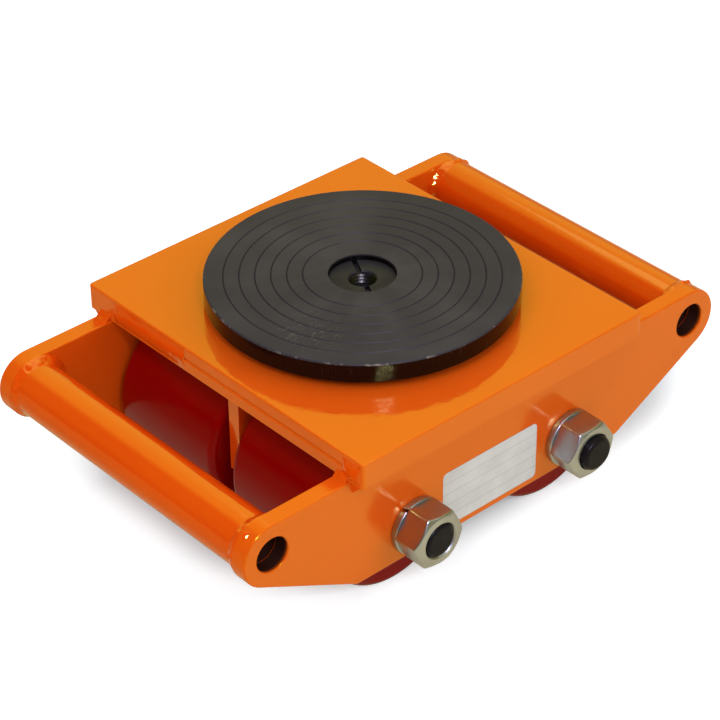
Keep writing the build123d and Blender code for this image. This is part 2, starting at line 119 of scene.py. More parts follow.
class Graph:
    """Writes nodes and links into one shader node tree."""

    def __init__(self, tree: Tree) -> None:
        """Keeps the tree that the nodes go into."""
        self.tree = tree

    def add(self, kind: str, inputs: Inputs | None = None, **settings: object) -> bpy.types.Node:
        """Adds one node.

        Args:
            kind: the node's type name.
            inputs: values or sockets for its inputs, by name or number.
            settings: properties of the node.

        Returns:
            The new node.
        """
        node = self.tree.nodes.new(kind)
        for name, value in settings.items():
            setattr(node, name, value)
        for name, value in (inputs or {}).items():
            if isinstance(value, Socket):
                self.tree.links.new(value, node.inputs[name])
            else:
                node.inputs[name].default_value = value
        return node

    def math(self, operation: str, *values: object) -> Socket:
        """Adds a Math node, and returns its socket."""
        return self._sum("ShaderNodeMath", operation, values)[0]

    def times(self, *values: object) -> Socket:
        """Multiplies values one after another, and returns the product's socket."""
        return reduce(lambda product, value: self.math("MULTIPLY", product, value), values)

    def vector(self, operation: str, *values: object) -> Socket:
        """Adds a Vector Math node, and returns the socket of its vector."""
        return self._sum("ShaderNodeVectorMath", operation, values)["Vector"]

    def span(self, operation: str, *values: object) -> Socket:
        """Adds a Vector Math node that measures, and returns the socket of its number."""
        return self._sum("ShaderNodeVectorMath", operation, values)["Value"]

    def split(self, vector: object) -> bpy.types.NodeOutputs:
        """Splits a vector, and returns the sockets of its three parts."""
        return self.add("ShaderNodeSeparateXYZ", {0: vector}).outputs

    def noise(self, vector: object, scale: object, detail: float = 3.0, rough: float = 0.5) -> Socket:
        """Adds a Noise texture with so many features to the metre, and returns its grey value."""
        inputs = {"Vector": vector, "Scale": scale, "Detail": detail, "Roughness": rough}
        return self.add("ShaderNodeTexNoise", inputs).outputs[0]

    def step(self, value: object, low: object, high: object) -> Socket:
        """Adds a smooth step from 0 at low to 1 at high, and returns its socket."""
        inputs = {"Value": value, "From Min": low, "From Max": high}
        return self.add("ShaderNodeMapRange", inputs, interpolation_type="SMOOTHSTEP").outputs[0]

    def blend(self, factor: object, first: object, second: object) -> Socket:
        """Adds a colour mix from first to second, and returns its socket."""
        return self.add("ShaderNodeMix", {0: factor, 6: first, 7: second}, data_type="RGBA").outputs[2]

    def lerp(self, factor: object, first: object, second: object) -> Socket:
        """Adds a mix of two numbers, and returns its socket."""
        return self.add("ShaderNodeMix", {0: factor, 2: first, 3: second}).outputs[0]

    def bump(self, height: object, distance: float = 1.0) -> Socket:
        """Adds a Bump node, whose height is in metres at a distance of 1, and returns its normal."""
        inputs = {"Height": height, "Distance": distance, "Strength": 1.0}
        return self.add("ShaderNodeBump", inputs).outputs[0]

    def coordinates(self) -> Socket:
        """Adds the skate's own coordinates, and returns their socket."""
        return self.add("ShaderNodeTexCoord").outputs["Object"]

    def _sum(self, kind: str, operation: str, values: tuple[object, ...]) -> bpy.types.NodeOutputs:
        """Adds a node that does one operation on values in order, and returns its outputs."""
        return self.add(kind, dict(enumerate(values)), operation=operation).outputs


class GroupDraft(Graph):
    """A shader node group that is being written, with its named inputs and outputs."""

    VECTORS: ClassVar[frozenset[str]] = frozenset({"Vector", "Centre", "Half", "Streak"})

    def __init__(self, name: str, inputs: tuple[str, ...], outputs: tuple[str, ...]) -> None:
        """Starts the group.

        Args:
            name: the group's name.
            inputs: the names of its inputs beside Vector.
            outputs: the names of its outputs.
        """
        super().__init__(bpy.data.node_groups.new(name, "ShaderNodeTree"))
        for direction, names in (("INPUT", ("Vector", *inputs)), ("OUTPUT", outputs)):
            for socket in names:
                kind = "NodeSocketVector" if socket in self.VECTORS else "NodeSocketFloat"
                self.tree.interface.new_socket(socket, in_out=direction, socket_type=kind)
        self.given = self.add("NodeGroupInput").outputs

    def close(self, **results: Socket) -> Tree:
        """Links the results to the group's outputs, and returns the finished group."""
        self.add("NodeGroupOutput", results)
        return self.tree


class Effects:
    """Shader node groups that several finishes share, each built once."""

    PATCH_LEVEL: ClassVar[Range] = (0.3, 0.7)
    PATCH_DETAIL: ClassVar[Range] = (4.0, 0.55)
    GRAIN_DETAIL: ClassVar[Range] = (2.0, 0.6)
    SCRATCH_DETAIL: ClassVar[Range] = (2.0, 0.7)
    PEEL_SCALE: ClassVar[float] = 380.0
    SAG_SCALE: ClassVar[float] = 60.0
    WOBBLE_SCALE: ClassVar[float] = 160.0
    GRIT_SCALE: ClassVar[float] = 1500.0
    SCRATCH_LEVEL: ClassVar[float] = 0.86
    SCRATCH_FADE: ClassVar[float] = 0.06
    SCRATCH_RUNS: ClassVar[tuple[Range, ...]] = ((0.5, 18.0), (-0.9, 26.0))

    def __init__(self) -> None:
        """Builds every group."""
        self.mottle = self._mottle()
        self.paint_skin = self._paint_skin()
        self.box_edge = self._box_edge()
        self.scratches = self._scratches()
        self.polar = self._polar()
        self.specks = self._specks()

    def _mottle(self) -> Tree:
        """Writes cloudy variation, from broad patches to fine grain.

        Returns:
            The finished group.
        """
        group = GroupDraft("mottle", ("Patch Scale", "Grain Scale"), ("Patches", "Grain"))
        given = group.given
        patches = group.noise(given["Vector"], given["Patch Scale"], *self.PATCH_DETAIL)
        grain = group.noise(given["Vector"], given["Grain Scale"], *self.GRAIN_DETAIL)
        return group.close(Patches=group.step(patches, *self.PATCH_LEVEL), Grain=grain)

    def _paint_skin(self) -> Tree:
        """Writes the height of a thick coat of enamel: fine peel over slow sags.

        Returns:
            The finished group.
        """
        group = GroupDraft("paint_skin", ("Peel", "Sag"), ("Height",))
        given = group.given
        peel = group.times(group.noise(given["Vector"], self.PEEL_SCALE, 1.0), given["Peel"])
        sag = group.times(group.noise(given["Vector"], self.SAG_SCALE, 1.0), given["Sag"])
        return group.close(Height=group.math("ADD", peel, sag))

    def _box_edge(self) -> Tree:
        """Writes a mask along the edges of a box: 1 on an edge, 0 further off than a width.

        Returns:
            The finished group.
        """
        group = GroupDraft("box_edge", ("Centre", "Half", "Width"), ("Mask",))
        given = group.given
        offset = group.vector("ABSOLUTE", group.vector("SUBTRACT", given["Vector"], given["Centre"]))
        x, y, z = group.split(group.vector("SUBTRACT", offset, given["Half"]))
        below = group.math("MINIMUM", group.math("MAXIMUM", x, y), z)
        second = group.math("MAXIMUM", group.math("MINIMUM", x, y), below)
        wobble = group.times(group.noise(given["Vector"], self.WOBBLE_SCALE), given["Width"])
        low = group.times(given["Width"], -0.5)
        return group.close(Mask=group.step(group.math("ADD", second, wobble), low, given["Width"]))

    def _scratches(self) -> Tree:
        """Writes a mask of thin straight scratches that lie in two directions.

        Returns:
            The finished group.
        """
        group = GroupDraft("scratches", ("Scale", "Cover"), ("Mask",))
        given = group.given
        low = group.math("SUBTRACT", self.SCRATCH_LEVEL, given["Cover"])
        high = group.math("ADD", low, self.SCRATCH_FADE)
        masks = []
        for turn, stretch in self.SCRATCH_RUNS:
            inputs = {"Vector": given["Vector"], "Rotation": (0.0, 0.0, turn), "Scale": (1.0, stretch, 1.0)}
            drawn_out = group.add("ShaderNodeMapping", inputs).outputs[0]
            streaks = group.noise(drawn_out, given["Scale"], *self.SCRATCH_DETAIL)
            masks.append(group.step(streaks, low, high))
        return group.close(Mask=group.math("MAXIMUM", *masks))

    def _polar(self) -> Tree:
        """Writes the radius about the turntable's axis, and coordinates that run round it without a seam.

        Returns:
            The finished group.
        """
        group = GroupDraft("polar", ("Round", "Across"), ("Radius", "Streak"))
        x, y, _ = group.split(group.given["Vector"])
        flat = group.add("ShaderNodeCombineXYZ", {0: x, 1: y}).outputs[0]
        radius = group.span("LENGTH", flat)
        u, v, _ = group.split(group.vector("NORMALIZE", flat))
        scaled = ((u, "Round"), (v, "Round"), (radius, "Across"))
        parts = {place: group.times(value, group.given[name]) for place, (value, name) in enumerate(scaled)}
        return group.close(Radius=radius, Streak=group.add("ShaderNodeCombineXYZ", parts).outputs[0])

    def _specks(self) -> Tree:
        """Writes a mask of a few small dots of grit, about one to each cell.

        Returns:
            The finished group.
        """
        group = GroupDraft("specks", ("Spacing", "Size"), ("Mask",))
        given = group.given
        scale = group.math("DIVIDE", 1.0, given["Spacing"])
        cells = group.add("ShaderNodeTexVoronoi", {"Vector": given["Vector"], "Scale": scale})
        reach = group.times(cells.outputs["Distance"], given["Spacing"])
        blur = group.times(group.noise(given["Vector"], self.GRIT_SCALE, 2.0), given["Size"])
        return group.close(Mask=group.step(group.math("ADD", reach, blur), given["Size"], 0.0))


class Finish(Graph):
    """A material that is being written around one Principled shader."""

    def __init__(self, name: str, **plain: object) -> None:
        """Starts the material.

        Args:
            name: the material's name.
            plain: values of the shader that are the same all over, with _ for a space.
        """
        self.material = bpy.data.materials.new(name)
        self.material.use_nodes = True
        super().__init__(self.material.node_tree)
        self.shader = self.tree.nodes["Principled BSDF"]
        for socket, value in plain.items():
            self.shader.inputs[socket.replace("_", " ")].default_value = value
        self.place = self.coordinates()

    def effect(self, group: Tree, **inputs: object) -> bpy.types.NodeOutputs:
        """Places a shared effect, with _ for a space in its inputs, and returns its outputs."""
        sockets = {"Vector": self.place, **{name.replace("_", " "): value for name, value in inputs.items()}}
        return self.add("ShaderNodeGroup", sockets, node_tree=group).outputs

    def feed(self, **sockets: Socket) -> Material:
        """Links sockets to the shader.

        Args:
            sockets: the socket for each input by name, with _ for a space.

        Returns:
            The material.
        """
        for name, socket in sockets.items():
            self.tree.links.new(socket, self.shader.inputs[name.replace("_", " ")])
        return self.material


@dataclass(frozen=True)
class Bore:
    """Bare round holes along Y, one at each end of the skate, coloured dark: bare steel, and also painted
    shade deep inside them.

    The wall is bare from a lip of paint to a mouth where paint runs in, at distances from the middle plane.
    """

    x: float
    z: float
    radius: float
    lip_y: float = 0.0
    mouth_y: float = 1.0
    run_in: float = 3.0 * MM
    wall_fade: Range = (0.5 * MM, 0.2 * MM)
    lip_fade: Range = (0.2 * MM, 0.7 * MM)

    def mask(self, look: Finish) -> Socket:
        """Adds a mask of the bare holes.

        Args:
            look: the material that is being written.

        Returns:
            The mask's socket, 1 on a hole's wall and 0 elsewhere.
        """
        folded = look.vector("ABSOLUTE", look.place)
        offset = look.vector("SUBTRACT", folded, (self.x, 0.0, self.z))
        reach = look.span("LENGTH", look.vector("MULTIPLY", offset, (1.0, 0.0, 1.0)))
        within = look.step(reach, *(self.radius + fade for fade in self.wall_fade))
        depth = look.split(folded)[1]
        past_lip = look.step(depth, *(self.lip_y + fade for fade in self.lip_fade))
        past_mouth = look.step(depth, self.mouth_y, self.mouth_y - self.run_in)
        return look.times(within, past_lip, past_mouth)


@dataclass(frozen=True)
class Enamel:
    """Gloss orange enamel over welded plate: a deep colour under a bright, slightly wavy skin."""

    name: str
    # Painted light and shade: the skate wears one paint, but these redder defaults, used by the bars and
    # welds, paint in the shade that falls on them
    colour: Colour = (0.75, 0.066, 0.0015, 1.0)
    deep: Colour = (0.73, 0.059, 0.0015, 1.0)
    thin_edge_and_highlight: Colour = (0.75, 0.076, 0.002, 1.0)
    grit: Colour = (0.12, 0.018, 0.004, 1.0)
    # bare: dark bare steel inside the bores, and also painted shade there
    bare: Colour = (0.085, 0.030, 0.018, 1.0)
    gloss_tint: Colour = (0.86, 0.97, 0.05, 1.0)
    index: float = 2.1
    rough: Range = (0.09, 0.15)
    bare_rough: float = 0.6
    patch_scale: float = 14.0
    grain_scale: float = 700.0
    grit_spacing: float = 30.0 * MM
    grit_size: float = 0.5 * MM
    peel: float = 0.03 * MM
    sag: float = 0.12 * MM
    edge_centre: Point = ORIGIN
    edge_half: Point = (1.0, 1.0, 1.0)
    edge_width: float = 0.9 * MM
    edge_wear_and_highlight: float = 0.6
    bore: Bore | None = None

    def make(self, effects: Effects) -> Material:
        """Builds the material.

        Args:
            effects: the shared effects.

        Returns:
            The enamel.
        """
        look = Finish(self.name, IOR=self.index, Specular_Tint=self.gloss_tint)
        clouds = look.effect(effects.mottle, Patch_Scale=self.patch_scale, Grain_Scale=self.grain_scale)
        box = {"Centre": self.edge_centre, "Half": self.edge_half, "Width": self.edge_width}
        edge = look.effect(effects.box_edge, **box)["Mask"]
        specks = look.effect(effects.specks, Spacing=self.grit_spacing, Size=self.grit_size)["Mask"]
        colour = look.blend(clouds["Patches"], self.deep, self.colour)
        # Lighter edges: thinner enamel, and also a painted highlight along them
        colour = look.blend(look.times(edge, self.edge_wear_and_highlight), colour, self.thin_edge_and_highlight)
        colour = look.blend(specks, colour, self.grit)
        rough = look.lerp(clouds["Grain"], *self.rough)
        # The bores' dark wall is bare steel and also painted shade deep in the holes
        if self.bore:
            inside = self.bore.mask(look)
            colour = look.blend(inside, colour, self.bare)
            rough = look.lerp(inside, rough, self.bare_rough)
            look.feed(Metallic=inside)
        height = look.effect(effects.paint_skin, Peel=self.peel, Sag=self.sag)["Height"]
        return look.feed(Base_Color=colour, Roughness=rough, Normal=look.bump(height))


@dataclass(frozen=True)
class Polyurethane:
    """Deep red cast polyurethane with a rubbed running face."""

    name: str = "roller_polyurethane"
    colour: Colour = (0.215, 0.0004, 0.0005, 1.0)
    dusty: Colour = (0.23, 0.0010, 0.0009, 1.0)
    gloss_tint: Colour = (1.0, 0.82, 0.8, 1.0)
    specular: float = 0.16
    rough: Range = (0.08, 0.15)
    scuff_rough: float = 0.12
    peel: float = 0.003 * MM
    sag: float = 0.04 * MM

    def make(self, effects: Effects) -> Material:
        """Builds the material.

        Args:
            effects: the shared effects.

        Returns:
            The polyurethane.
        """
        look = Finish(self.name, Specular_IOR_Level=self.specular, Specular_Tint=self.gloss_tint)
        clouds = look.effect(effects.mottle, Patch_Scale=24.0, Grain_Scale=900.0)
        scuffs = look.effect(effects.scratches, Scale=60.0, Cover=0.16)["Mask"]
        colour = look.blend(clouds["Patches"], self.colour, self.dusty)
        rough = look.lerp(clouds["Grain"], *self.rough)
        rough = look.math("ADD", rough, look.times(scuffs, self.scuff_rough))
        height = look.effect(effects.paint_skin, Peel=self.peel, Sag=self.sag)["Height"]
        return look.feed(Base_Color=colour, Roughness=rough, Normal=look.bump(height))


@dataclass(frozen=True)
class PlainMetal:
    """Bare, plated or blackened metal with cloudy polish and fine scratches."""

    name: str
    colour: Colour
    stain: Colour
    metallic: float = 1.0
    specular: float = 0.5
    rough: Range = (0.24, 0.36)
    patch_scale: float = 120.0
    grain_scale: float = 1300.0
    grain_share: float = 0.4
    grain_height: float = 0.004 * MM
    scratch_scale: float = 140.0
    scratch_cover: float = 0.2
    scratch_rough: float = 0.12

    def make(self, effects: Effects) -> Material:
        """Builds the material.

        Args:
            effects: the shared effects.

        Returns:
            The metal.
        """
        look = Finish(self.name, Metallic=self.metallic, Specular_IOR_Level=self.specular)
        clouds = look.effect(effects.mottle, Patch_Scale=self.patch_scale, Grain_Scale=self.grain_scale)
        drawn = {"Scale": self.scratch_scale, "Cover": self.scratch_cover}
        scratches = look.effect(effects.scratches, **drawn)["Mask"]
        tone = look.lerp(self.grain_share, clouds["Patches"], clouds["Grain"])
        colour = look.blend(tone, self.stain, self.colour)
        rough = look.lerp(clouds["Patches"], *reversed(self.rough))
        rough = look.math("ADD", rough, look.times(scratches, self.scratch_rough))
        height = look.times(look.math("SUBTRACT", clouds["Grain"], scratches), self.grain_height)
        return look.feed(Base_Color=colour, Roughness=rough, Normal=look.bump(height))


@dataclass(frozen=True)
class DiscSteel:
    """Blackened steel of the turntable: turned face, grooves that shade dark but are painted a little lighter
    to soften it, scuffed patch and a glossy rim.
    """

    rim_radius: float
    top_z: float
    name: str = "turntable_steel"
    face: Colour = (0.0228, 0.0184, 0.0345, 1.0)
    worn: Colour = (0.038, 0.0338, 0.045, 1.0)
    groove_painted_light: Colour = (0.030, 0.0262, 0.034, 1.0)
    painted_sheen: Colour = (0.048, 0.0428, 0.057, 1.0)
    dust: Colour = (0.16, 0.15, 0.14, 1.0)
    rim: Colour = (0.0025, 0.002, 0.0017, 1.0)
    bare: Colour = (0.30, 0.28, 0.25, 1.0)
    specular: float = 0.15
    turning_noise: Point = (1.0, 3.0, 0.6)
    turning_level: Range = (0.25, 0.8)
    painted_sheen_noise: Point = (1.0, 2.0, 0.6)
    painted_sheen_level: Range = (0.35, 0.75)
    worn_share: float = 0.8
    dust_share: float = 0.7
    rim_levels: Range = (-1.2 * MM, -0.8 * MM)
    land_levels: Range = (-0.35 * MM, -0.08 * MM)
    face_rough: Range = (0.36, 0.52)
    face_height: float = 0.006 * MM
    rim_rough: float = 0.10
    rim_coat: float = 0.13
    rim_coat_rough: float = 0.08
    rim_height: float = 0.01 * MM
    lathe_scale: Point = (60.0, 60.0, 5200.0)
    scuff_place: Point = (-58.0 * MM, -22.0 * MM, 126.0 * MM)
    scuff_radius: float = 24.0 * MM
    scuff_core: float = 0.3
    scuff_wear: Range = (0.03, 0.65)
    chip_scale: float = 260.0
    chip_level: Range = (0.54, 0.70)
    chip_wear: float = 0.6
    chip_width: float = 0.9 * MM

    def make(self, effects: Effects) -> Material:
        """Builds the material.

        Args:
            effects: the shared effects.

        Returns:
            The steel.
        """
        look = Finish(self.name, Specular_IOR_Level=self.specular, Coat_Roughness=self.rim_coat_rough)
        polar = look.effect(effects.polar, Round=2.2, Across=1400.0)
        turning = look.noise(polar["Streak"], *self.turning_noise)
        height_z = look.split(look.place)[2]
        on_top = look.step(height_z, *(self.top_z + level for level in self.rim_levels))
        on_land = look.step(height_z, *(self.top_z + level for level in self.land_levels))
        # Painted light: the grooves are coloured lighter than the face to soften the shade in them
        face = look.blend(on_land, self.groove_painted_light, self._turned(look, effects, turning))
        specks = look.effect(effects.specks, Spacing=9.0 * MM, Size=0.45 * MM)["Mask"]
        face = look.blend(look.times(specks, self.dust_share), face, self.dust)
        colour = look.blend(on_top, self.rim, face)
        colour = look.blend(self._wear(look, effects, polar["Radius"], on_top), colour, self.bare)
        rough = look.lerp(on_top, self.rim_rough, look.lerp(turning, *self.face_rough))
        lathe = look.noise(look.vector("MULTIPLY", look.place, self.lathe_scale), 1.0, 1.0)
        heights = look.times(lathe, self.rim_height), look.times(turning, self.face_height)
        normal = look.bump(look.lerp(on_top, *heights))
        coat = look.times(look.math("SUBTRACT", 1.0, on_top), self.rim_coat)
        return look.feed(Base_Color=colour, Roughness=rough, Coat_Weight=coat, Normal=normal)

    def _turned(self, look: Finish, effects: Effects, turning: Socket) -> Socket:
        """Adds the colour of the turned face, with lighter radial fans that are a painted sheen.

        Args:
            look: the material that is being written.
            effects: the shared effects.
            turning: the fine turning marks.

        Returns:
            The colour's socket.
        """
        clouds = look.effect(effects.mottle, Patch_Scale=26.0, Grain_Scale=1500.0)
        tone = look.lerp(clouds["Patches"], look.step(turning, *self.turning_level), clouds["Grain"])
        # Painted sheen: lighter radial fans that stand in for the turned face's sheen
        streak = look.effect(effects.polar, Round=1.5, Across=24.0)["Streak"]
        sheen_fans = look.step(look.noise(streak, *self.painted_sheen_noise), *self.painted_sheen_level)
        face = look.blend(sheen_fans, self.face, self.painted_sheen)
        return look.blend(look.times(tone, self.worn_share), face, self.worn)

    def _wear(self, look: Finish, effects: Effects, radius: Socket, on_top: Socket) -> Socket:
        """Adds a mask of bare metal: scuffs in one patch, and chips along the rim.

        Args:
            look: the material that is being written.
            effects: the shared effects.
            radius: the distance from the turntable's axis.
            on_top: the mask of the upper face.

        Returns:
            The mask's socket.
        """
        scratches = look.effect(effects.scratches, Scale=110.0, Cover=0.22)["Mask"]
        away = look.span("DISTANCE", look.place, self.scuff_place)
        scuffed = look.step(away, self.scuff_radius, self.scuff_core * self.scuff_radius)
        scuffs = look.times(scratches, look.lerp(scuffed, *self.scuff_wear))
        chips = look.step(look.noise(look.place, self.chip_scale), *self.chip_level)
        near_rim = look.step(radius, self.rim_radius - self.chip_width, self.rim_radius)
        return look.math("MAXIMUM", scuffs, look.times(chips, self.chip_wear, near_rim, on_top))


@dataclass(frozen=True)
class StickerFilm:
    """Blank white vinyl with a few empty ruled rows, a little greyed by handling."""

    low_z: float
    high_z: float
    name: str = "sticker_film"
    colour: Colour = (0.66, 0.64, 0.61, 1.0)
    greyed: Colour = (0.58, 0.56, 0.53, 1.0)
    ink: Colour = (0.10, 0.10, 0.10, 1.0)
    ink_share: float = 0.35
    rows: int = 5
    rule: float = 0.35 * MM
    specular: float = 0.4
    rough: Range = (0.35, 0.55)
    ripple: float = 0.02 * MM

    def make(self, effects: Effects) -> Material:
        """Builds the material.

        Args:
            effects: the shared effects.

        Returns:
            The vinyl.
        """
        look = Finish(self.name, Specular_IOR_Level=self.specular)
        clouds = look.effect(effects.mottle, Patch_Scale=60.0, Grain_Scale=1600.0)
        colour = look.blend(clouds["Patches"], self.greyed, self.colour)
        height = look.math("SUBTRACT", look.split(look.place)[2], self.low_z)
        off_rule = look.math("PINGPONG", height, (self.high_z - self.low_z) / self.rows / 2)
        ruled = look.times(look.step(off_rule, self.rule, 0.0), self.ink_share)
        colour = look.blend(ruled, colour, self.ink)
        rough = look.lerp(clouds["Grain"], *self.rough)
        normal = look.bump(clouds["Patches"], self.ripple)
        return look.feed(Base_Color=colour, Roughness=rough, Normal=normal)


def dress(nodes: Nodes, names: list[str], material: Material) -> None:
    """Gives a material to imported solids.

    Args:
        nodes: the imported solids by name.
        names: the solids to dress.
        material: their finish.
    """
    for name in names:
        for slot in nodes[name].material_slots:
            slot.material = material
        LOG.info("%s: %s", name, material.name)


def finish_piece(
    shape: Shape, name: str, material: Material, body: str, crease: float = 40.0
) -> bpy.types.Object:
    """Makes a bmesh into a smooth-shaded piece that rides on a body.

    Args:
        shape: the finished shape, which is freed.
        name: the piece's name.
        material: its finish.
        body: the body that carries it.
        crease: angle in degrees above which an edge stays sharp.

    Returns:
        The new object.
    """
    bmesh.ops.remove_doubles(shape, verts=shape.verts, dist=MERGE)
    bmesh.ops.recalc_face_normals(shape, faces=shape.faces)
    for face in shape.faces:
        face.smooth = True
    mesh = bpy.data.meshes.new(name)
    shape.to_mesh(mesh)
    shape.free()
    mesh.set_sharp_from_angle(angle=math.radians(crease))
    mesh.materials.append(material)
    piece = bpy.data.objects.new(name, mesh)
    bpy.context.scene.collection.objects.link(piece)
    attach(piece, body)
    LOG.info("%s: %d faces on %s", name, len(mesh.polygons), body)
    return piece


def sweep(profile: list[Point], axis: Point, turns: int, steps: int, climb: float = 0.0) -> Shape:
    """Turns a closed profile about an axis through the origin.

    Args:
        profile: the profile's corners.
        axis: the way of the axis.
        turns: how often the profile goes round.
        steps: divisions in all.
        climb: rise along the axis at each step; without one the sweep closes to a ring.

    Returns:
        The swept surface.
    """
    shape = bmesh.new()
    corners = [shape.verts.new(point) for point in profile]
    edges = [shape.edges.new((corners[i - 1], corners[i])) for i in range(len(corners))]
    bmesh.ops.spin(
        shape,
        geom=corners + edges,
        cent=ORIGIN,
        axis=axis,
        dvec=climb * Vector(axis),
        angle=2 * math.pi * turns,
        steps=steps,
        use_merge=not climb,
    )
    return shape


def thicken(shape: Shape, faces: list[bmesh.types.BMFace], travel: Vector) -> None:
    """Pushes a copy of some faces along a way, with walls between the two.

    Args:
        shape: the shape that has the faces.
        faces: the faces, which stay where they are.
        travel: the way and length of the push.
    """
    moved = bmesh.ops.extrude_face_region(shape, geom=faces, use_keep_orig=True)["geom"]
    verts = [part for part in moved if isinstance(part, bmesh.types.BMVert)]
    bmesh.ops.translate(shape, verts=verts, vec=travel)


@dataclass
class WeldBead:
    """A painted weld bead: overlapping scallops, slow lumps and drops that no two welds share."""

    seed: int
    pitch: float = 3.4 * MM
    ripple: float = 0.16 * MM
    bow: float = 0.3
    fullness: float = 0.6
    lump: float = 0.45 * MM
    lump_size: float = 7.0 * MM
    drops: int = 0
    drop_height: Range = (0.4 * MM, 1.0 * MM)
    drop_radius: Range = (1.1 * MM, 2.2 * MM)
    drop_spot: Range = (0.2, 0.85)
    drop_fade: float = 6.0
    rows: int = 17
    turn_steps: int = 220
    sunk: float = 0.25 * MM
    lap: float = 1.0 * MM
    inset: float = 0.08 * MM

    def swell(self, along: float, across: float, place: Vector) -> float:
        """Tells how far a point of the bead stands out.

        Args:
            along: distance along the bead.
            across: place over its face, from -1 at one toe to 1 at the other.
            place: the point itself.

        Returns:
            The distance in metres, 0 at both toes.
        """
        phase = along / self.pitch + self.bow * across * across
        scallop = abs(math.sin(math.pi * phase)) ** self.fullness
        lumps = noise.noise(place / self.lump_size + Vector((float(self.seed), 0.0, 0.0)))
        return (1.0 - across * across) * (self.ripple * scallop + self.lump * lumps)

    def flare(
        self,
        centre: Vector,
        radius: float,
        nose: tuple[Vector, float],
        wall_y: float,
        outward: float,
        length: float,
    ) -> Shape:
        """Makes a bead that widens smoothly from the end of a bar to a plate's round end.

        Args:
            centre: a point on the bar's axis, which lies along Y.
            radius: the bar's radius.
            nose: the middle and the radius of the plate's round end.
            wall_y: the face that the bar is welded to.
            outward: the way along Y from the bar to that face.
            length: the bead's reach along the bar.

        Returns:
            The closed ring.
        """
        toe_y = wall_y - outward * length
        lap_y = wall_y + outward * self.lap
        outside = radius + MM
        inside = radius - self.sunk
        levels = [toe_y + (wall_y - toe_y) * row / (self.rows - 1) for row in range(self.rows)]
        profile = [(outside, level, 0.0) for level in [*levels, lap_y]]
        profile += [(inside, lap_y, 0.0), (inside, toe_y, 0.0)]
        shape = sweep(profile, (0.0, 1.0, 0.0), 1, self.turn_steps)
        bmesh.ops.remove_doubles(shape, verts=shape.verts, dist=MERGE)
        drops = self._scatter()
        middle, nose_radius = nose
        offset = Vector((middle.x - centre.x, 0.0, middle.z - centre.z))
        for vert in shape.verts:
            spoke = Vector((vert.co.x, 0.0, vert.co.z))
            if spoke.length < radius:
                continue
            heading = spoke.normalized()
            along = offset.dot(heading)
            edge = along + math.sqrt(nose_radius**2 - offset.length_squared + along**2)
            share = min(1.0, (vert.co.y - toe_y) / (wall_y - toe_y))
            reach = radius + (edge - self.inset - radius) * share * share * (2.0 - share)
            angle = math.atan2(vert.co.z, vert.co.x)
            out = self.swell((angle + math.pi) * radius, 2 * share - 1, vert.co + centre)
            for turn, spot, height, size in drops:
                gap = (angle - turn + math.pi) % (2 * math.pi) - math.pi
                far = math.hypot(gap * radius, (share - spot) * length) / size
                out += height * math.exp(-far * far) * min(1.0, self.drop_fade * share * (1.0 - share))
            vert.co = Vector((0.0, vert.co.y, 0.0)) + heading * (reach + out)
        bmesh.ops.translate(shape, verts=shape.verts, vec=Vector((centre.x, 0.0, centre.z)))
        return shape

    def _scatter(self) -> list[tuple[float, float, float, float]]:
        """Scatters drops of spatter round a bar.

        Returns:
            The angle, share of the bead's length, height and radius of each drop.
        """
        draw = random.Random(self.seed)
        ranges = ((-math.pi, math.pi), self.drop_spot, self.drop_height, self.drop_radius)
        return [tuple(draw.uniform(*limits) for limits in ranges) for _ in range(self.drops)]

    def run(
        self,
        toes: tuple[Vector, Vector],
        root: Vector,
        travel: Vector,
        crown: float,
        taper: float,
        steps: int,
    ) -> Shape:
        """Makes a straight bead between two faces.

        Args:
            toes: the two edges of the bead's face, at its start.
            root: a point behind the face, inside the joint.
            travel: the way and length of the run.
            crown: how far the face's middle stands out of a straight line; negative for a hollow face.
            taper: length over which both ends fall away.
            steps: divisions along the run.

        Returns:
            The closed bead.
        """
        shape = bmesh.new()
        low, high = toes
        chord = high - low
        facing = ((low + high) / 2 - root).normalized()
        shares = [row / (self.rows - 1) for row in range(self.rows)]
        points = [low.lerp(high, share) + facing * (crown * math.sin(math.pi * share)) for share in shares]
        section = shape.faces.new([shape.verts.new(point) for point in [*points, root]])
        thicken(shape, [section], travel)
        long_edges = [edge for edge in shape.edges if edge.calc_length() > NEARLY * travel.length]
        bmesh.ops.subdivide_edges(shape, edges=long_edges, cuts=steps, use_grid_fill=True)
        heading = travel.normalized()
        for vert in shape.verts:
            local = vert.co - low
            along = local.dot(heading)
            flat = local - heading * along
            if (flat + low - root).length < 10 * MERGE:
                continue
            share = flat.dot(chord) / chord.length_squared
            end = min(1.0, max(0.0, min(along, travel.length - along) / taper))
            fall = math.sqrt(max(0.0, 1.0 - (1.0 - end) ** 2))
            rise = (flat - chord * share).dot(facing)
            out = self.swell(along, 2 * share - 1, vert.co)
            vert.co += facing * (out * fall - rise * (1.0 - fall))
        return shape


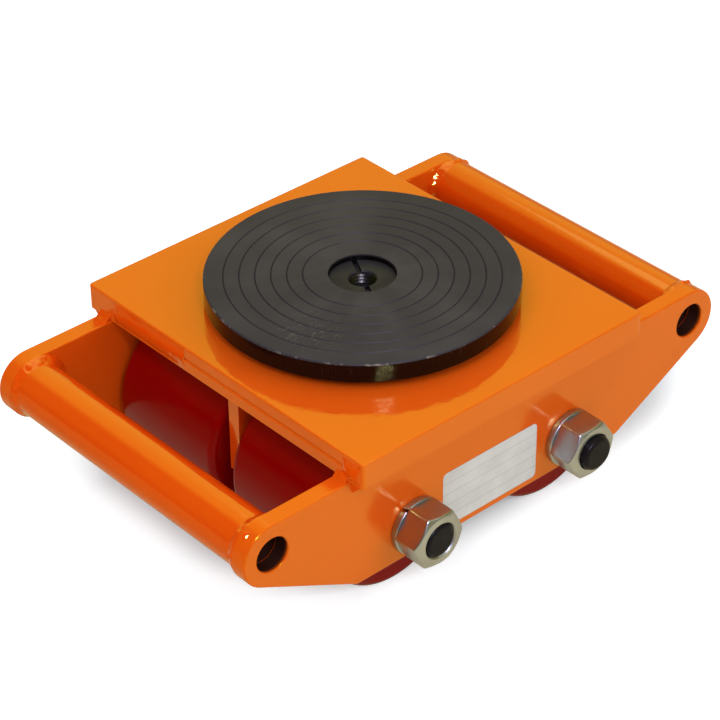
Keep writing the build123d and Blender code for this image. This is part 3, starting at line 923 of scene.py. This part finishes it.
@dataclass
class WeldedFrame:
    """Deck, side plates, rib, pull bars, the beads that join them and the sticker."""

    nodes: Nodes
    effects: Effects
    body: str = "frame"
    slot: str = "frame_enamel"
    bar_wall: float = 2.0 * MM
    link_end: float = 18.5 * MM
    link_hole: float = 10.0 * MM
    bar_seeds: Seeds = (20, 7, 3)
    bar_flare: float = 4.6 * MM
    bar_drops: int = 26
    seam_seeds: Seeds = (40, 5, 1)
    seam_crown: float = 1.5 * MM
    seam_flush: float = 22.0 * MM
    seam_root: float = 1.0 * MM
    seam_long: float = 60.0 * MM
    seam_short: float = 13.0 * MM
    seam_corner_gap: float = 2.0 * MM
    seam_taper: float = 5.0 * MM
    seam_step: float = 0.6 * MM
    side_seeds: Seeds = (60, 0, 1)
    side_hollow: float = -1.6 * MM
    side_taper: float = 1.0 * MM
    side_steps: int = 260
    corner_seeds: Seeds = (80, 5, 2)
    corner_leg: float = 3.6 * MM
    corner_inset: float = 0.6 * MM
    corner_hollow: float = -0.2 * MM
    corner_taper: float = 2.5 * MM
    corner_steps: int = 24
    drop_angle: float = math.radians(127.0)
    drop_half: Point = (3.2 * MM, 2.6 * MM, 0.35 * MM)
    drop_facing: Point = (-0.385, -0.644, 0.661)
    drop_sunk: float = 0.6 * MM
    sticker_x: Range = (-36.0 * MM, 32.5 * MM)
    sticker_z: Range = (30.5 * MM, 66.0 * MM)
    sticker_corner: float = 3.0 * MM
    sticker_thickness: float = 0.12 * MM
    paint: Material = field(init=False)
    plate_low: Vector = field(init=False)
    plate_high: Vector = field(init=False)

    def __post_init__(self) -> None:
        """Mixes the weld beads' paint and measures a side plate."""
        welds = Enamel("weld_enamel", rough=(0.05, 0.09), gloss_tint=(0.86, 0.95, 0.22, 1.0))
        self.paint = welds.make(self.effects)
        self.plate_low, self.plate_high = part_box("side_plate_left")

    def dress(self) -> None:
        """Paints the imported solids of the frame."""
        deck_low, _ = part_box("deck_base_plate")
        _, deck_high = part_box("deck_top_plate")
        deck = Enamel(
            "deck_enamel",
            edge_centre=tuple((deck_low + deck_high) / 2),
            edge_half=tuple((deck_high - deck_low) / 2),
            # Painted light: the deck is mixed yellower than the plates and bars for the light on its top,
            # though it is the same paint
            colour=(0.75, 0.102, 0.006, 1.0),
            deep=(0.73, 0.094, 0.005, 1.0),
            thin_edge_and_highlight=(0.75, 0.112, 0.007, 1.0),
            gloss_tint=(0.92, 0.94, 0.08, 1.0),
            index=1.86,
            rough=(0.06, 0.10),
            peel=0.07 * MM,
            sag=0.3 * MM,
        )
        link_x, link_z = self._link()
        plates = Enamel(
            "plate_enamel",
            bore=Bore(link_x, link_z, self.link_hole, self.plate_low.y, self.plate_high.y),
            # Painted light: the plates are mixed between the deck and the bars for the light on their faces,
            # though it is the same paint
            colour=(0.75, 0.090, 0.004, 1.0),
            deep=(0.73, 0.082, 0.003, 1.0),
            thin_edge_and_highlight=(0.75, 0.100, 0.005, 1.0),
            gloss_tint=(0.92, 0.94, 0.05, 1.0),
            index=1.86,
            rough=(0.13, 0.19),
        )
        dress(self.nodes, ["deck_top_plate", "deck_base_plate"], deck.make(self.effects))
        dress(self.nodes, ["centre_rib", "rib_welds"], self.paint)
        dress(self.nodes, ["side_plate_left", "side_plate_right"], plates.make(self.effects))
        for end in End:
            name = f"pull_bar_{label(end)}"
            low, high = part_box(name)
            middle = (low + high) / 2
            bore = Bore(abs(middle.x), middle.z, (high.z - low.z) / 2 - self.bar_wall)
            bar = Enamel(f"bar_enamel_{label(end)}", bore=bore, gloss_tint=(0.86, 0.97, 0.2, 1.0))
            dress(self.nodes, [name], bar.make(self.effects))

    def weld_bars(self) -> None:
        """Lays a bead round each end of both pull bars, in place of the plain rings."""
        link_x, link_z = self._link()
        for end in End:
            low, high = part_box(f"pull_bar_{label(end)}")
            nose = (Vector((end.value * link_x, 0.0, link_z)), self.link_end)
            for side in Side:
                wall_y = high.y if side is Side.LEFT else low.y
                bead = WeldBead(
                    seed=self._seed(self.bar_seeds, end.value, side.value),
                    pitch=6.5 * MM,
                    ripple=0.4 * MM,
                    lump=0.7 * MM,
                    lump_size=6.0 * MM,
                    drops=self.bar_drops,
                    drop_height=(0.4 * MM, 0.8 * MM),
                    drop_radius=(1.0 * MM, 1.7 * MM),
                )
                radius = (high.z - low.z) / 2
                shape = bead.flare((low + high) / 2, radius, nose, wall_y, side.value, self.bar_flare)
                self._lay(shape, f"bar_weld_{label(end, side)}", "pull_bar_welds")

    def weld_seams(self) -> None:
        """Lays a long and a short bead over the seam of the deck plates at each end."""
        low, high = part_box("deck_top_plate")
        weld_low, weld_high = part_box("deck_seam_welds")
        toe = Vector((0.0, 0.0, (weld_high.z - weld_low.z) / 2))
        runs = (
            ("long", self.seam_long, high.y - self.seam_flush, -1),
            ("short", self.seam_short, high.y - self.seam_corner_gap, 1),
        )
        for end in End:
            face_x = high.x if end is End.FRONT else low.x
            for size, length, start_y, turn in runs:
                side = turn * end.value
                start = Vector((face_x, side * start_y, low.z))
                toes = (start - toe, start + toe)
                root = start - Vector((end.value * self.seam_root, 0.0, 0.0))
                travel = Vector((0.0, -side * length, 0.0))
                seed = self._seed(self.seam_seeds, end.value, side)
                bead = WeldBead(seed, ripple=0.03 * MM, lump=0.4 * MM, lump_size=11.0 * MM)
                steps = int(length / self.seam_step)
                shape = bead.run(toes, root, travel, self.seam_crown, self.seam_taper, steps)
                self._lay(shape, f"seam_weld_{label(end)}_{size}", "deck_seam_welds")

    def weld_sides(self) -> None:
        """Lays the hollow bead under the deck's overhang along both side plates."""
        low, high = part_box("deck_side_welds")
        leg = high.z - low.z
        travel = Vector((high.x - low.x, 0.0, 0.0))
        for side in Side:
            corner = Vector((low.x, side.value * self.plate_high.y, high.z))
            toes = (corner + Vector((0.0, side.value * leg, 0.0)), corner - Vector((0.0, 0.0, leg)))
            seed = self._seed(self.side_seeds, 0, side.value)
            bead = WeldBead(seed, pitch=5.0 * MM, ripple=0.06 * MM, lump=0.2 * MM)
            shape = bead.run(toes, corner, travel, self.side_hollow, self.side_taper, self.side_steps)
            self._lay(shape, f"side_weld_{label(side)}", "deck_side_welds")

    def weld_corners(self) -> None:
        """Lays a short bead on each side plate's top, against both ends of the deck."""
        deck_low, deck_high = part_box("deck_base_plate")
        inner = self.plate_low.y + self.corner_inset
        outer = self.plate_high.y - self.corner_inset
        for end in End:
            for side in Side:
                corner = Vector((end.value * deck_high.x, side.value * inner, deck_low.z))
                deck_toe = corner + Vector((0.0, 0.0, self.corner_leg))
                plate_toe = corner + Vector((end.value * self.corner_leg, 0.0, 0.0))
                travel = Vector((0.0, side.value * (outer - inner), 0.0))
                seed = self._seed(self.corner_seeds, end.value, side.value)
                bead = WeldBead(seed, ripple=0.03 * MM, lump=0.8 * MM, lump_size=5.0 * MM)
                ends = (self.corner_hollow, self.corner_taper, self.corner_steps)
                shape = bead.run((deck_toe, plate_toe), corner, travel, *ends)
                self._lay(shape, f"corner_weld_{label(end, side)}", "deck_side_welds")

    def spatter(self) -> None:
        """Sets one flat drop of weld metal on the rear end of the right side plate."""
        low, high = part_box("side_plate_right")
        out = Vector((math.cos(self.drop_angle), 0.0, math.sin(self.drop_angle)))
        middle = Vector((low.x + self.link_end, (low.y + high.y) / 2, high.z - self.link_end))
        shape = bmesh.new()
        bmesh.ops.create_icosphere(shape, subdivisions=4, radius=1.0)
        bmesh.ops.scale(shape, verts=shape.verts, vec=self.drop_half)
        turn = Vector(self.drop_facing).to_track_quat("Z", "Y").to_matrix()
        bmesh.ops.rotate(shape, verts=shape.verts, cent=ORIGIN, matrix=turn)
        bmesh.ops.translate(shape, verts=shape.verts, vec=middle + out * (self.link_end - self.drop_sunk))
        finish_piece(shape, "weld_spatter", self.paint, self.body)

    def stick(self) -> None:
        """Sets the blank sticker on the right side plate."""
        face_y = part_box("side_plate_right")[0].y
        width = self.sticker_x[1] - self.sticker_x[0]
        height = self.sticker_z[1] - self.sticker_z[0]
        middle = Vector((sum(self.sticker_x) / 2, face_y, sum(self.sticker_z) / 2))
        upright = Matrix.Rotation(math.pi / 2, 3, "X")
        shape = bmesh.new()
        bmesh.ops.create_grid(shape, x_segments=1, y_segments=1, size=0.5)
        bmesh.ops.scale(shape, verts=shape.verts, vec=(width, height, 1.0))
        bmesh.ops.bevel(
            shape,
            geom=list(shape.verts),
            offset=self.sticker_corner,
            segments=6,
            profile=0.5,
            affect="VERTICES",
            material=-1,
        )
        bmesh.ops.rotate(shape, verts=shape.verts, cent=ORIGIN, matrix=upright)
        bmesh.ops.translate(shape, verts=shape.verts, vec=middle)
        thicken(shape, list(shape.faces), Vector((0.0, -self.sticker_thickness, 0.0)))
        film = StickerFilm(*self.sticker_z).make(self.effects)
        finish_piece(shape, "sticker", film, self.body)

    def _link(self) -> Range:
        """Tells how far out and how high the middles of the plates' round ends lie."""
        return self.plate_high.x - self.link_end, self.plate_high.z - self.link_end

    def _seed(self, seeds: Seeds, end: int, side: int) -> int:
        """Tells a bead's seed from a first seed and its steps from end to end and from side to side."""
        return seeds[0] + seeds[1] * end + seeds[2] * side

    def _lay(self, shape: Shape, name: str, node: str) -> None:
        """Paints a bead and sets it in place of a plain one."""
        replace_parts(finish_piece(shape, name, self.paint, self.body), node)


@dataclass
class Rollers:
    """Four rollers with their cores and bearings, and the turntable's thrust bearing."""

    nodes: Nodes
    effects: Effects

    def dress(self) -> None:
        """Gives each piece of the rollers and the bearings its finish."""
        iron = PlainMetal("roller_iron", (0.14, 0.13, 0.13, 1.0), (0.09, 0.08, 0.08, 1.0), rough=(0.4, 0.6))
        bright, dull = (0.72, 0.72, 0.72, 1.0), (0.6, 0.6, 0.6, 1.0)
        steel = PlainMetal("bearing_steel", bright, dull, rough=(0.12, 0.25))
        cage = PlainMetal("cage_steel", (0.55, 0.54, 0.5, 1.0), (0.45, 0.44, 0.41, 1.0))
        black, grey = (0.015, 0.015, 0.015, 1.0), (0.02, 0.02, 0.02, 1.0)
        rubber = PlainMetal("seal_rubber", black, grey, metallic=0.0, rough=(0.5, 0.7))
        finishes = {
            "roller_tread": Polyurethane(),
            "roller_core": iron,
            "bearing_seals": rubber,
            "bearing_cages": cage,
            "bearing_outer_rings": steel,
            "bearing_balls": steel,
        }
        made = {finish.name: finish.make(self.effects) for finish in finishes.values()}
        corners = [label(end, side) for end in End for side in Side]
        for kind, finish in finishes.items():
            dress(self.nodes, [f"{kind}_{corner}" for corner in corners], made[finish.name])
        races = ["bearing_inner_rings", "thrust_race_lower", "thrust_race_upper", "thrust_balls"]
        dress(self.nodes, races, made[steel.name])
        dress(self.nodes, ["thrust_cage"], made[cage.name])


@dataclass
class TurnedPart:
    """A part of the axle's ends, drawn by its section all round the axle."""

    outside: float
    bore: float
    height: float
    turn: float
    segments: ClassVar[int] = 180
    round_corner: ClassVar[tuple[Range, ...]] = ((1.0, 0.0), (0.5, 0.134), (0.134, 0.5), (0.0, 1.0))

    def section(self, angle: float) -> list[Range]:
        """Traces the closed section at an angle as radii and heights over the seat."""
        raise NotImplementedError

    def bearing(self, angle: float, radius: float, level: float) -> float:
        """Tells where round the axle a point of the section comes to lie."""
        raise NotImplementedError

    def make(self, seat: Vector, outward: int) -> Shape:
        """Builds the part.

        Args:
            seat: the point of its axis at its seat.
            outward: the way along Y from the seat to the axle's end.

        Returns:
            The closed part.
        """
        rows = len(self.section(0.0))
        shape = bmesh.new()
        bmesh.ops.create_grid(shape, x_segments=self.segments, y_segments=rows, size=1.0)
        for vert in shape.verts:
            angle = math.pi * (vert.co.x + 1.0)
            radius, level = self.section(angle)[round((vert.co.y + 1.0) / 2 * rows) % rows]
            angle = self.bearing(angle, radius, level)
            across = -outward * radius * math.cos(angle)
            vert.co = seat + Vector((across, outward * level, radius * math.sin(angle)))
        bmesh.ops.remove_doubles(shape, verts=shape.verts, dist=MERGE)
        bmesh.ops.holes_fill(shape, edges=[edge for edge in shape.edges if edge.is_boundary], sides=0)
        return shape

    def _rounded(self, radius: float, soft: float) -> list[Range]:
        """Traces a rounded corner from the seat up to the side at a radius."""
        return [(radius - soft * inward, soft * upward) for inward, upward in self.round_corner]


@dataclass
class HexNut(TurnedPart):
    """A hexagon nut, its outer end turned off to a cone, with softly worn edges."""

    face_inset: float = 1.2 * MM
    slope: float = math.tan(math.radians(30.0))
    soft: float = 0.45 * MM
    cone_corner: Range = (0.25, 0.1)
    mouth: float = 0.8 * MM
    blunt: float = 0.2 * MM

    def section(self, angle: float) -> list[Range]:
        """Traces the section from the bore over the face, the cone and the flat to the seat.

        Args:
            angle: the angle from a corner.

        Returns:
            The radius and the height of each point.
        """
        flat = self.outside * math.cos(math.pi / 6)
        reach = min(flat / math.cos(angle % (math.pi / 3) - math.pi / 6), self.outside - self.blunt)
        face = flat - self.face_inset
        edge = self.height - (reach - face) * self.slope
        inward, downward = self.cone_corner
        return [
            (self.bore, self.height - self.mouth),
            (self.bore + self.mouth, self.height),
            (face - self.soft, self.height),
            (face + self.soft, self.height - self.soft * self.slope),
            (reach - self.soft, edge + self.soft * self.slope),
            (reach - inward * self.soft, edge - downward * self.soft),
            (reach, edge - self.soft),
            *reversed(self._rounded(reach, self.soft)),
            (self.bore, 0.0),
        ]

    def bearing(self, angle: float, radius: float, level: float) -> float:
        """Turns the nut as it was tightened."""
        return angle + self.turn


@dataclass
class SpringWasher(TurnedPart):
    """A split washer pressed flat, its slot cut at a slant, with softly worn edges."""

    slot_width: float = 2.0 * MM
    slant: float = math.radians(20.0)
    soft: float = 0.7 * MM

    def section(self, angle: float) -> list[Range]:
        """Traces the section, which is the same all round.

        Args:
            angle: the angle along the ring; not used.

        Returns:
            The radius and the height of each point.
        """
        lower = self._rounded(self.outside, self.soft)
        upper = [(radius, self.height - level) for radius, level in reversed(lower)]
        return [(self.bore, 0.0), *lower, *upper, (self.bore, self.height)]

    def bearing(self, angle: float, radius: float, level: float) -> float:
        """Draws the ring together round its slanted slot.

        Args:
            angle: the angle along the ring.
            radius: the point's radius.
            level: the point's height over the seat.

        Returns:
            The angle that the point comes to lie at.
        """
        gap = math.asin(self.slot_width / (2 * math.cos(self.slant)) / radius)
        lean = math.tan(self.slant) * (level - self.height / 2) / radius
        return self.turn + gap + angle * (1.0 - gap / math.pi) - lean


@dataclass
class Fasteners:
    """Axles with their nuts, washers, sleeves and collars, and the bolt below the turntable."""

    nodes: Nodes
    effects: Effects
    body: str = "frame"
    slot: str = "zinc_plate"
    slot_angles: dict[End, float] = field(default_factory=lambda: {End.FRONT: 250.0, End.REAR: 121.5})
    plating: Material = field(init=False)

    def __post_init__(self) -> None:
        """Mixes the plating."""
        zinc = PlainMetal(
            "zinc_plate",
            (0.50, 0.515, 0.54, 1.0),
            (0.37, 0.38, 0.39, 1.0),
            rough=(0.28, 0.4),
            patch_scale=45.0,
            scratch_cover=0.0,
            grain_height=0.0003 * MM,
        )
        self.plating = zinc.make(self.effects)

    def dress(self) -> None:
        """Gives the axles and their fasteners their finishes."""
        black = PlainMetal(
            "axle_black",
            (0.010, 0.008, 0.010, 1.0),
            (0.006, 0.005, 0.006, 1.0),
            metallic=0.0,
            specular=0.1,
            rough=(0.25, 0.4),
        )
        plated = ["axle_nuts", "axle_spring_washers", "spacer_sleeves", "spacer_collars"]
        dress(self.nodes, plated + ["pivot_bolt", "pivot_spring_washer"], self.plating)
        dress(self.nodes, ["axle_front", "axle_rear"], black.make(self.effects))

    def wear(self) -> None:
        """Sets nuts and washers with worn edges in place of the plain ones."""
        for end in End:
            for side in Side:
                self._wear("axle_nuts", HexNut, end, side)
                self._wear("axle_spring_washers", SpringWasher, end, side)

    def _wear(self, node: str, kind: type[TurnedPart], end: End, side: Side) -> None:
        """Sets one part with worn edges, measured from the plain one.

        Args:
            node: the node that holds the plain parts.
            kind: the class that draws the part.
            end: the skate's end.
            side: the skate's side.
        """
        low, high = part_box(f"axle_{label(end)}")
        middle = (low + high) / 2
        points = [vert.co for vert in self.nodes[node].data.vertices]
        own = [point for point in points if point.x * end.value > 0 and point.y * side.value > 0]
        levels = [point.y * side.value for point in own]
        spokes = [Vector((side.value * (middle.x - point.x), 0.0, point.z - middle.z)) for point in own]
        longest = max(spokes, key=lambda spoke: spoke.length)
        bore = min(spoke.length for spoke in spokes)
        turns = {HexNut: math.atan2(longest.z, longest.x), SpringWasher: math.radians(self.slot_angles[end])}
        part = kind(longest.length, bore, max(levels) - min(levels), turns[kind])
        shape = part.make(Vector((middle.x, side.value * min(levels), middle.z)), side.value)
        name = f"{node.removesuffix('s')}_{label(end, side)}"
        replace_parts(finish_piece(shape, name, self.plating, self.body), node)


@dataclass
class Turntable:
    """Grooved disc and the slotted pivot nut with its thread."""

    nodes: Nodes
    effects: Effects
    thread_body: str = "frame"
    thread_slot: str = "turntable_steel"
    thread_radius: float = 7.35 * MM
    thread_root: float = 0.05 * MM
    thread_depth: float = 0.75 * MM
    thread_pitch: float = 2.0 * MM
    thread_flank: float = 0.45
    thread_top_gap: float = 1.4 * MM
    thread_turns: int = 3
    thread_crease: float = 25.0
    steps_per_turn: int = 72

    def dress(self) -> None:
        """Blackens the disc and the pivot nut."""
        low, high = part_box("turntable_disc")
        disc = DiscSteel((high.x - low.x) / 2, high.z)
        pivot = PlainMetal(
            "pivot_steel",
            (0.022, 0.0203, 0.027, 1.0),
            (0.014, 0.013, 0.017, 1.0),
            metallic=0.0,
            specular=0.2,
            rough=(0.45, 0.6),
            patch_scale=70.0,
        )
        dress(self.nodes, ["turntable_disc"], disc.make(self.effects))
        dress(self.nodes, ["pivot_nut"], pivot.make(self.effects))

    def cut_thread(self) -> None:
        """Winds the ridge of the thread inside the pivot nut's tapped hole."""
        worn, dark = (0.07, 0.064, 0.06, 1.0), (0.035, 0.032, 0.03, 1.0)
        bright = PlainMetal("thread_steel", worn, dark, patch_scale=200.0)
        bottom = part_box("pivot_nut")[1].z - self.thread_top_gap - self.thread_pitch * self.thread_turns
        half = self.thread_flank * self.thread_pitch
        outside = self.thread_radius + self.thread_root
        crest = self.thread_radius - self.thread_depth
        profile = [(outside, 0.0, bottom - half), (crest, 0.0, bottom), (outside, 0.0, bottom + half)]
        steps = self.thread_turns * self.steps_per_turn
        climb = self.thread_pitch / self.steps_per_turn
        shape = sweep(profile, (0.0, 0.0, 1.0), self.thread_turns, steps, climb)
        bmesh.ops.holes_fill(shape, edges=shape.edges)
        steel = bright.make(self.effects)
        finish_piece(shape, "pivot_thread", steel, self.thread_body, self.thread_crease)


@dataclass(frozen=True)
class Lamp:
    """A square lamp, which gloss may show and which may light the surfaces themselves."""

    name: str
    place: Point
    size: float
    power: float
    mirrored: bool = True
    lights: bool = True
    colour: Point = (1.0, 1.0, 1.0)

    def hang(self, target: Vector) -> None:
        """Hangs the lamp.

        Args:
            target: the point that it faces.
        """
        data = bpy.data.lights.new(self.name, "AREA")
        data.size = self.size
        data.energy = self.power
        data.color = self.colour
        lamp = bpy.data.objects.new(self.name, data)
        lamp.location = self.place
        lamp.rotation_euler = (target - Vector(self.place)).to_track_quat("-Z", "Y").to_euler()
        lamp.visible_glossy = self.mirrored
        lamp.visible_diffuse = self.lights
        bpy.context.scene.collection.objects.link(lamp)


@dataclass(frozen=True)
class SkyFade:
    """A change of the mirrored sky's brightness along one axis."""

    axis: Axis
    start: float
    end: float
    first: float
    last: float

    def add(self, graph: Graph, parts: bpy.types.NodeOutputs) -> Socket:
        """Adds the fade over the three parts of a direction, and returns its socket."""
        return graph.lerp(graph.step(parts[self.axis.value], self.start, self.end), self.first, self.last)


@dataclass
class Studio:
    """Pale floor, soft lamps and the camera at the photograph's place."""

    floor_size: float = 8.0
    floor_drop: float = 0.3 * MM
    floor_rough: float = 0.9
    floor_specular: float = 0.1
    floor_glow: float = 0.6
    floor_glow_below: float = 0.12
    floor_glow_mirrored: float = 0.25
    paper: Colour = (0.70, 0.81, 0.88, 1.0)
    paper_lit: Colour = (0.52, 0.48, 0.25, 1.0)
    paper_dim: Colour = (0.24, 0.22, 0.09, 1.0)
    lit_side: Range = (-0.27, -0.1)
    mirrored_tint: Colour = (1.0, 0.97, 0.84, 1.0)
    shade_centre: Point = (50.0 * MM, 60.0 * MM, 0.0)
    shade_half: Point = (82.0 * MM, 53.0 * MM, 1.0)
    shade_edge: Range = (74.0 * MM, 102.0 * MM)
    shade_back: Range = (80.0 * MM, 150.0 * MM)
    sky_glow: float = 0.45
    sky_warm: Colour = (1.0, 0.92, 0.84, 1.0)
    sky_tint: Colour = (1.0, 0.96, 0.2, 1.0)
    sky_fades: tuple[SkyFade, ...] = (
        SkyFade(Axis.X, -0.36, 0.02, 0.16, 1.0),
        SkyFade(Axis.Y, -0.2, 0.3, 0.35, 1.0),
        SkyFade(Axis.Z, 0.6, 0.8, 1.0, 0.8),
        SkyFade(Axis.Z, 0.02, 0.4, 0.3, 1.0),
    )
    lamp_target: Point = (0.0, 0.0, 0.08)
    lamps: tuple[Lamp, ...] = (
        Lamp("top_softbox", (0.25, 0.1, 1.5), 1.5, 5.3),
        Lamp("right_fill", (1.0, -1.6, 0.9), 1.3, 12.0, mirrored=False),
        Lamp("left_fill", (-1.05, -0.45, 1.4), 1.0, 10.0, mirrored=False),
        Lamp("low_fill", (-1.6, 0.3, 0.5), 0.8, 3.0, mirrored=False),
        Lamp("front_lamp", (-0.65, -1.28, 1.3), 0.16, 5.0, mirrored=False),
        Lamp("front_sparkle", (-0.65, -1.28, 1.3), 0.28, 32.0, lights=False, colour=COOL_LIGHT),
        Lamp("side_sparkle", (0.87, -1.6, 0.9), 0.1, 0.7, lights=False, colour=COOL_LIGHT),
    )
    camera_place: Point = (-0.78568, -0.87775, 0.89437)
    camera_azimuth: float = math.radians(41.75)
    camera_elevation: float = math.radians(35.01)
    camera_roll: float = math.radians(0.44)
    camera_near: float = 0.05
    focal_length: float = 131.77
    sensor: float = 36.0

    def set_camera(self) -> None:
        """Makes the camera and gives it to the scene."""
        data = bpy.data.cameras.new("camera")
        data.sensor_width = self.sensor
        data.lens = self.focal_length
        data.clip_start = self.camera_near
        turn, fall = self.camera_azimuth, self.camera_elevation
        level = Vector((math.cos(turn), -math.sin(turn), 0.0))
        ahead = Vector((math.cos(fall) * math.sin(turn), math.cos(fall) * math.cos(turn), -math.sin(fall)))
        down = ahead.cross(level)
        right = level * math.cos(self.camera_roll) + down * math.sin(self.camera_roll)
        facing = Matrix((right, right.cross(ahead), -ahead)).transposed().to_4x4()
        camera = bpy.data.objects.new("camera", data)
        camera.matrix_world = Matrix.Translation(self.camera_place) @ facing
        bpy.context.scene.collection.objects.link(camera)
        bpy.context.scene.camera = camera

    def lay_floor(self) -> None:
        """Lays a pale floor that is white to the eye and keeps the skate's shadow."""
        shape = bmesh.new()
        bmesh.ops.create_grid(shape, x_segments=1, y_segments=1, size=self.floor_size / 2)
        bmesh.ops.translate(shape, verts=shape.verts, vec=(0.0, 0.0, -self.floor_drop))
        mesh = bpy.data.meshes.new("floor")
        shape.to_mesh(mesh)
        shape.free()
        mesh.materials.append(self._floor_paper())
        floor = bpy.data.objects.new("floor", mesh)
        bpy.context.scene.collection.objects.link(floor)

    def _floor_paper(self) -> Material:
        """Builds the floor's material: a painted shadow, dim below and round the skate and bright further
        off, and painted shade towards -X in its gloss.

        Returns:
            The paper.
        """
        look = Finish("floor_white", Roughness=self.floor_rough, Specular_IOR_Level=self.floor_specular)
        in_gloss = look.add("ShaderNodeLightPath").outputs["Is Glossy Ray"]
        along, deep, _ = look.split(look.place)
        # Painted shadow: the glow drops in a rounded patch round and below the skate
        offset = look.vector("ABSOLUTE", look.vector("SUBTRACT", look.place, self.shade_centre))
        beyond = look.vector("MAXIMUM", look.vector("SUBTRACT", offset, self.shade_half), ORIGIN)
        near, far = self.shade_edge
        fade_from = look.lerp(look.step(deep, *self.shade_back), near, 0.0)
        open_floor = look.step(look.span("LENGTH", beyond), fade_from, far)
        # Painted shade: the floor as mirrored is darker towards -X
        lit = look.step(along, *self.lit_side)
        glow = look.lerp(open_floor, self.floor_glow_below, self.floor_glow)
        glow = look.lerp(in_gloss, glow, look.times(lit, self.floor_glow_mirrored))
        return look.feed(
            Base_Color=look.blend(in_gloss, self.paper, look.blend(lit, self.paper_dim, self.paper_lit)),
            Emission_Strength=look.times(self._seen(look), glow),
            Emission_Color=look.blend(in_gloss, WHITE, self.mirrored_tint),
        )

    def light(self) -> None:
        """Hangs the lamps and sets the world."""
        for lamp in self.lamps:
            lamp.hang(Vector(self.lamp_target))
        world = bpy.data.worlds.new("studio")
        bpy.context.scene.world = world
        world.use_nodes = True
        graph = Graph(world.node_tree)
        seen = self._seen(graph)
        to_camera = graph.add("ShaderNodeLightPath").outputs["Is Camera Ray"]
        parts = graph.split(graph.coordinates())
        mirrored = graph.times(*(fade.add(graph, parts) for fade in self.sky_fades))
        strength = graph.lerp(seen, self.sky_glow, graph.lerp(to_camera, mirrored, 1.0))
        colour = graph.blend(to_camera, graph.blend(seen, self.sky_warm, self.sky_tint), WHITE)
        background = world.node_tree.nodes["Background"]
        graph.tree.links.new(colour, background.inputs["Color"])
        graph.tree.links.new(strength, background.inputs["Strength"])
        bpy.context.scene.view_settings.view_transform = "Standard"

    def _seen(self, graph: Graph) -> Socket:
        """Adds a mask of the rays that show a surface to the eye, straight, mirrored or through glass.

        Args:
            graph: the graph of a material or the world.

        Returns:
            The mask's socket.
        """
        path = graph.add("ShaderNodeLightPath").outputs
        seen = graph.math("MAXIMUM", path["Is Camera Ray"], path["Is Glossy Ray"])
        return graph.math("MAXIMUM", seen, path["Is Transmission Ray"])


def main() -> None:
    """Builds and dresses the skate, then sets the studio."""
    logging.basicConfig(level=logging.INFO, format="%(name)s: %(message)s")
    for thing in list(bpy.data.objects):
        bpy.data.objects.remove(thing)
    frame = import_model()
    nodes = frame["nodes"]
    effects = Effects()

    welded = WeldedFrame(nodes, effects)
    welded.dress()
    welded.weld_bars()
    welded.weld_seams()
    welded.weld_sides()
    welded.weld_corners()
    welded.spatter()
    welded.stick()
    Rollers(nodes, effects).dress()
    fasteners = Fasteners(nodes, effects)
    fasteners.dress()
    fasteners.wear()
    turntable = Turntable(nodes, effects)
    turntable.dress()
    turntable.cut_thread()

    studio = Studio()
    studio.set_camera()
    studio.lay_floor()
    studio.light()


if __name__ == "__main__":
    main()
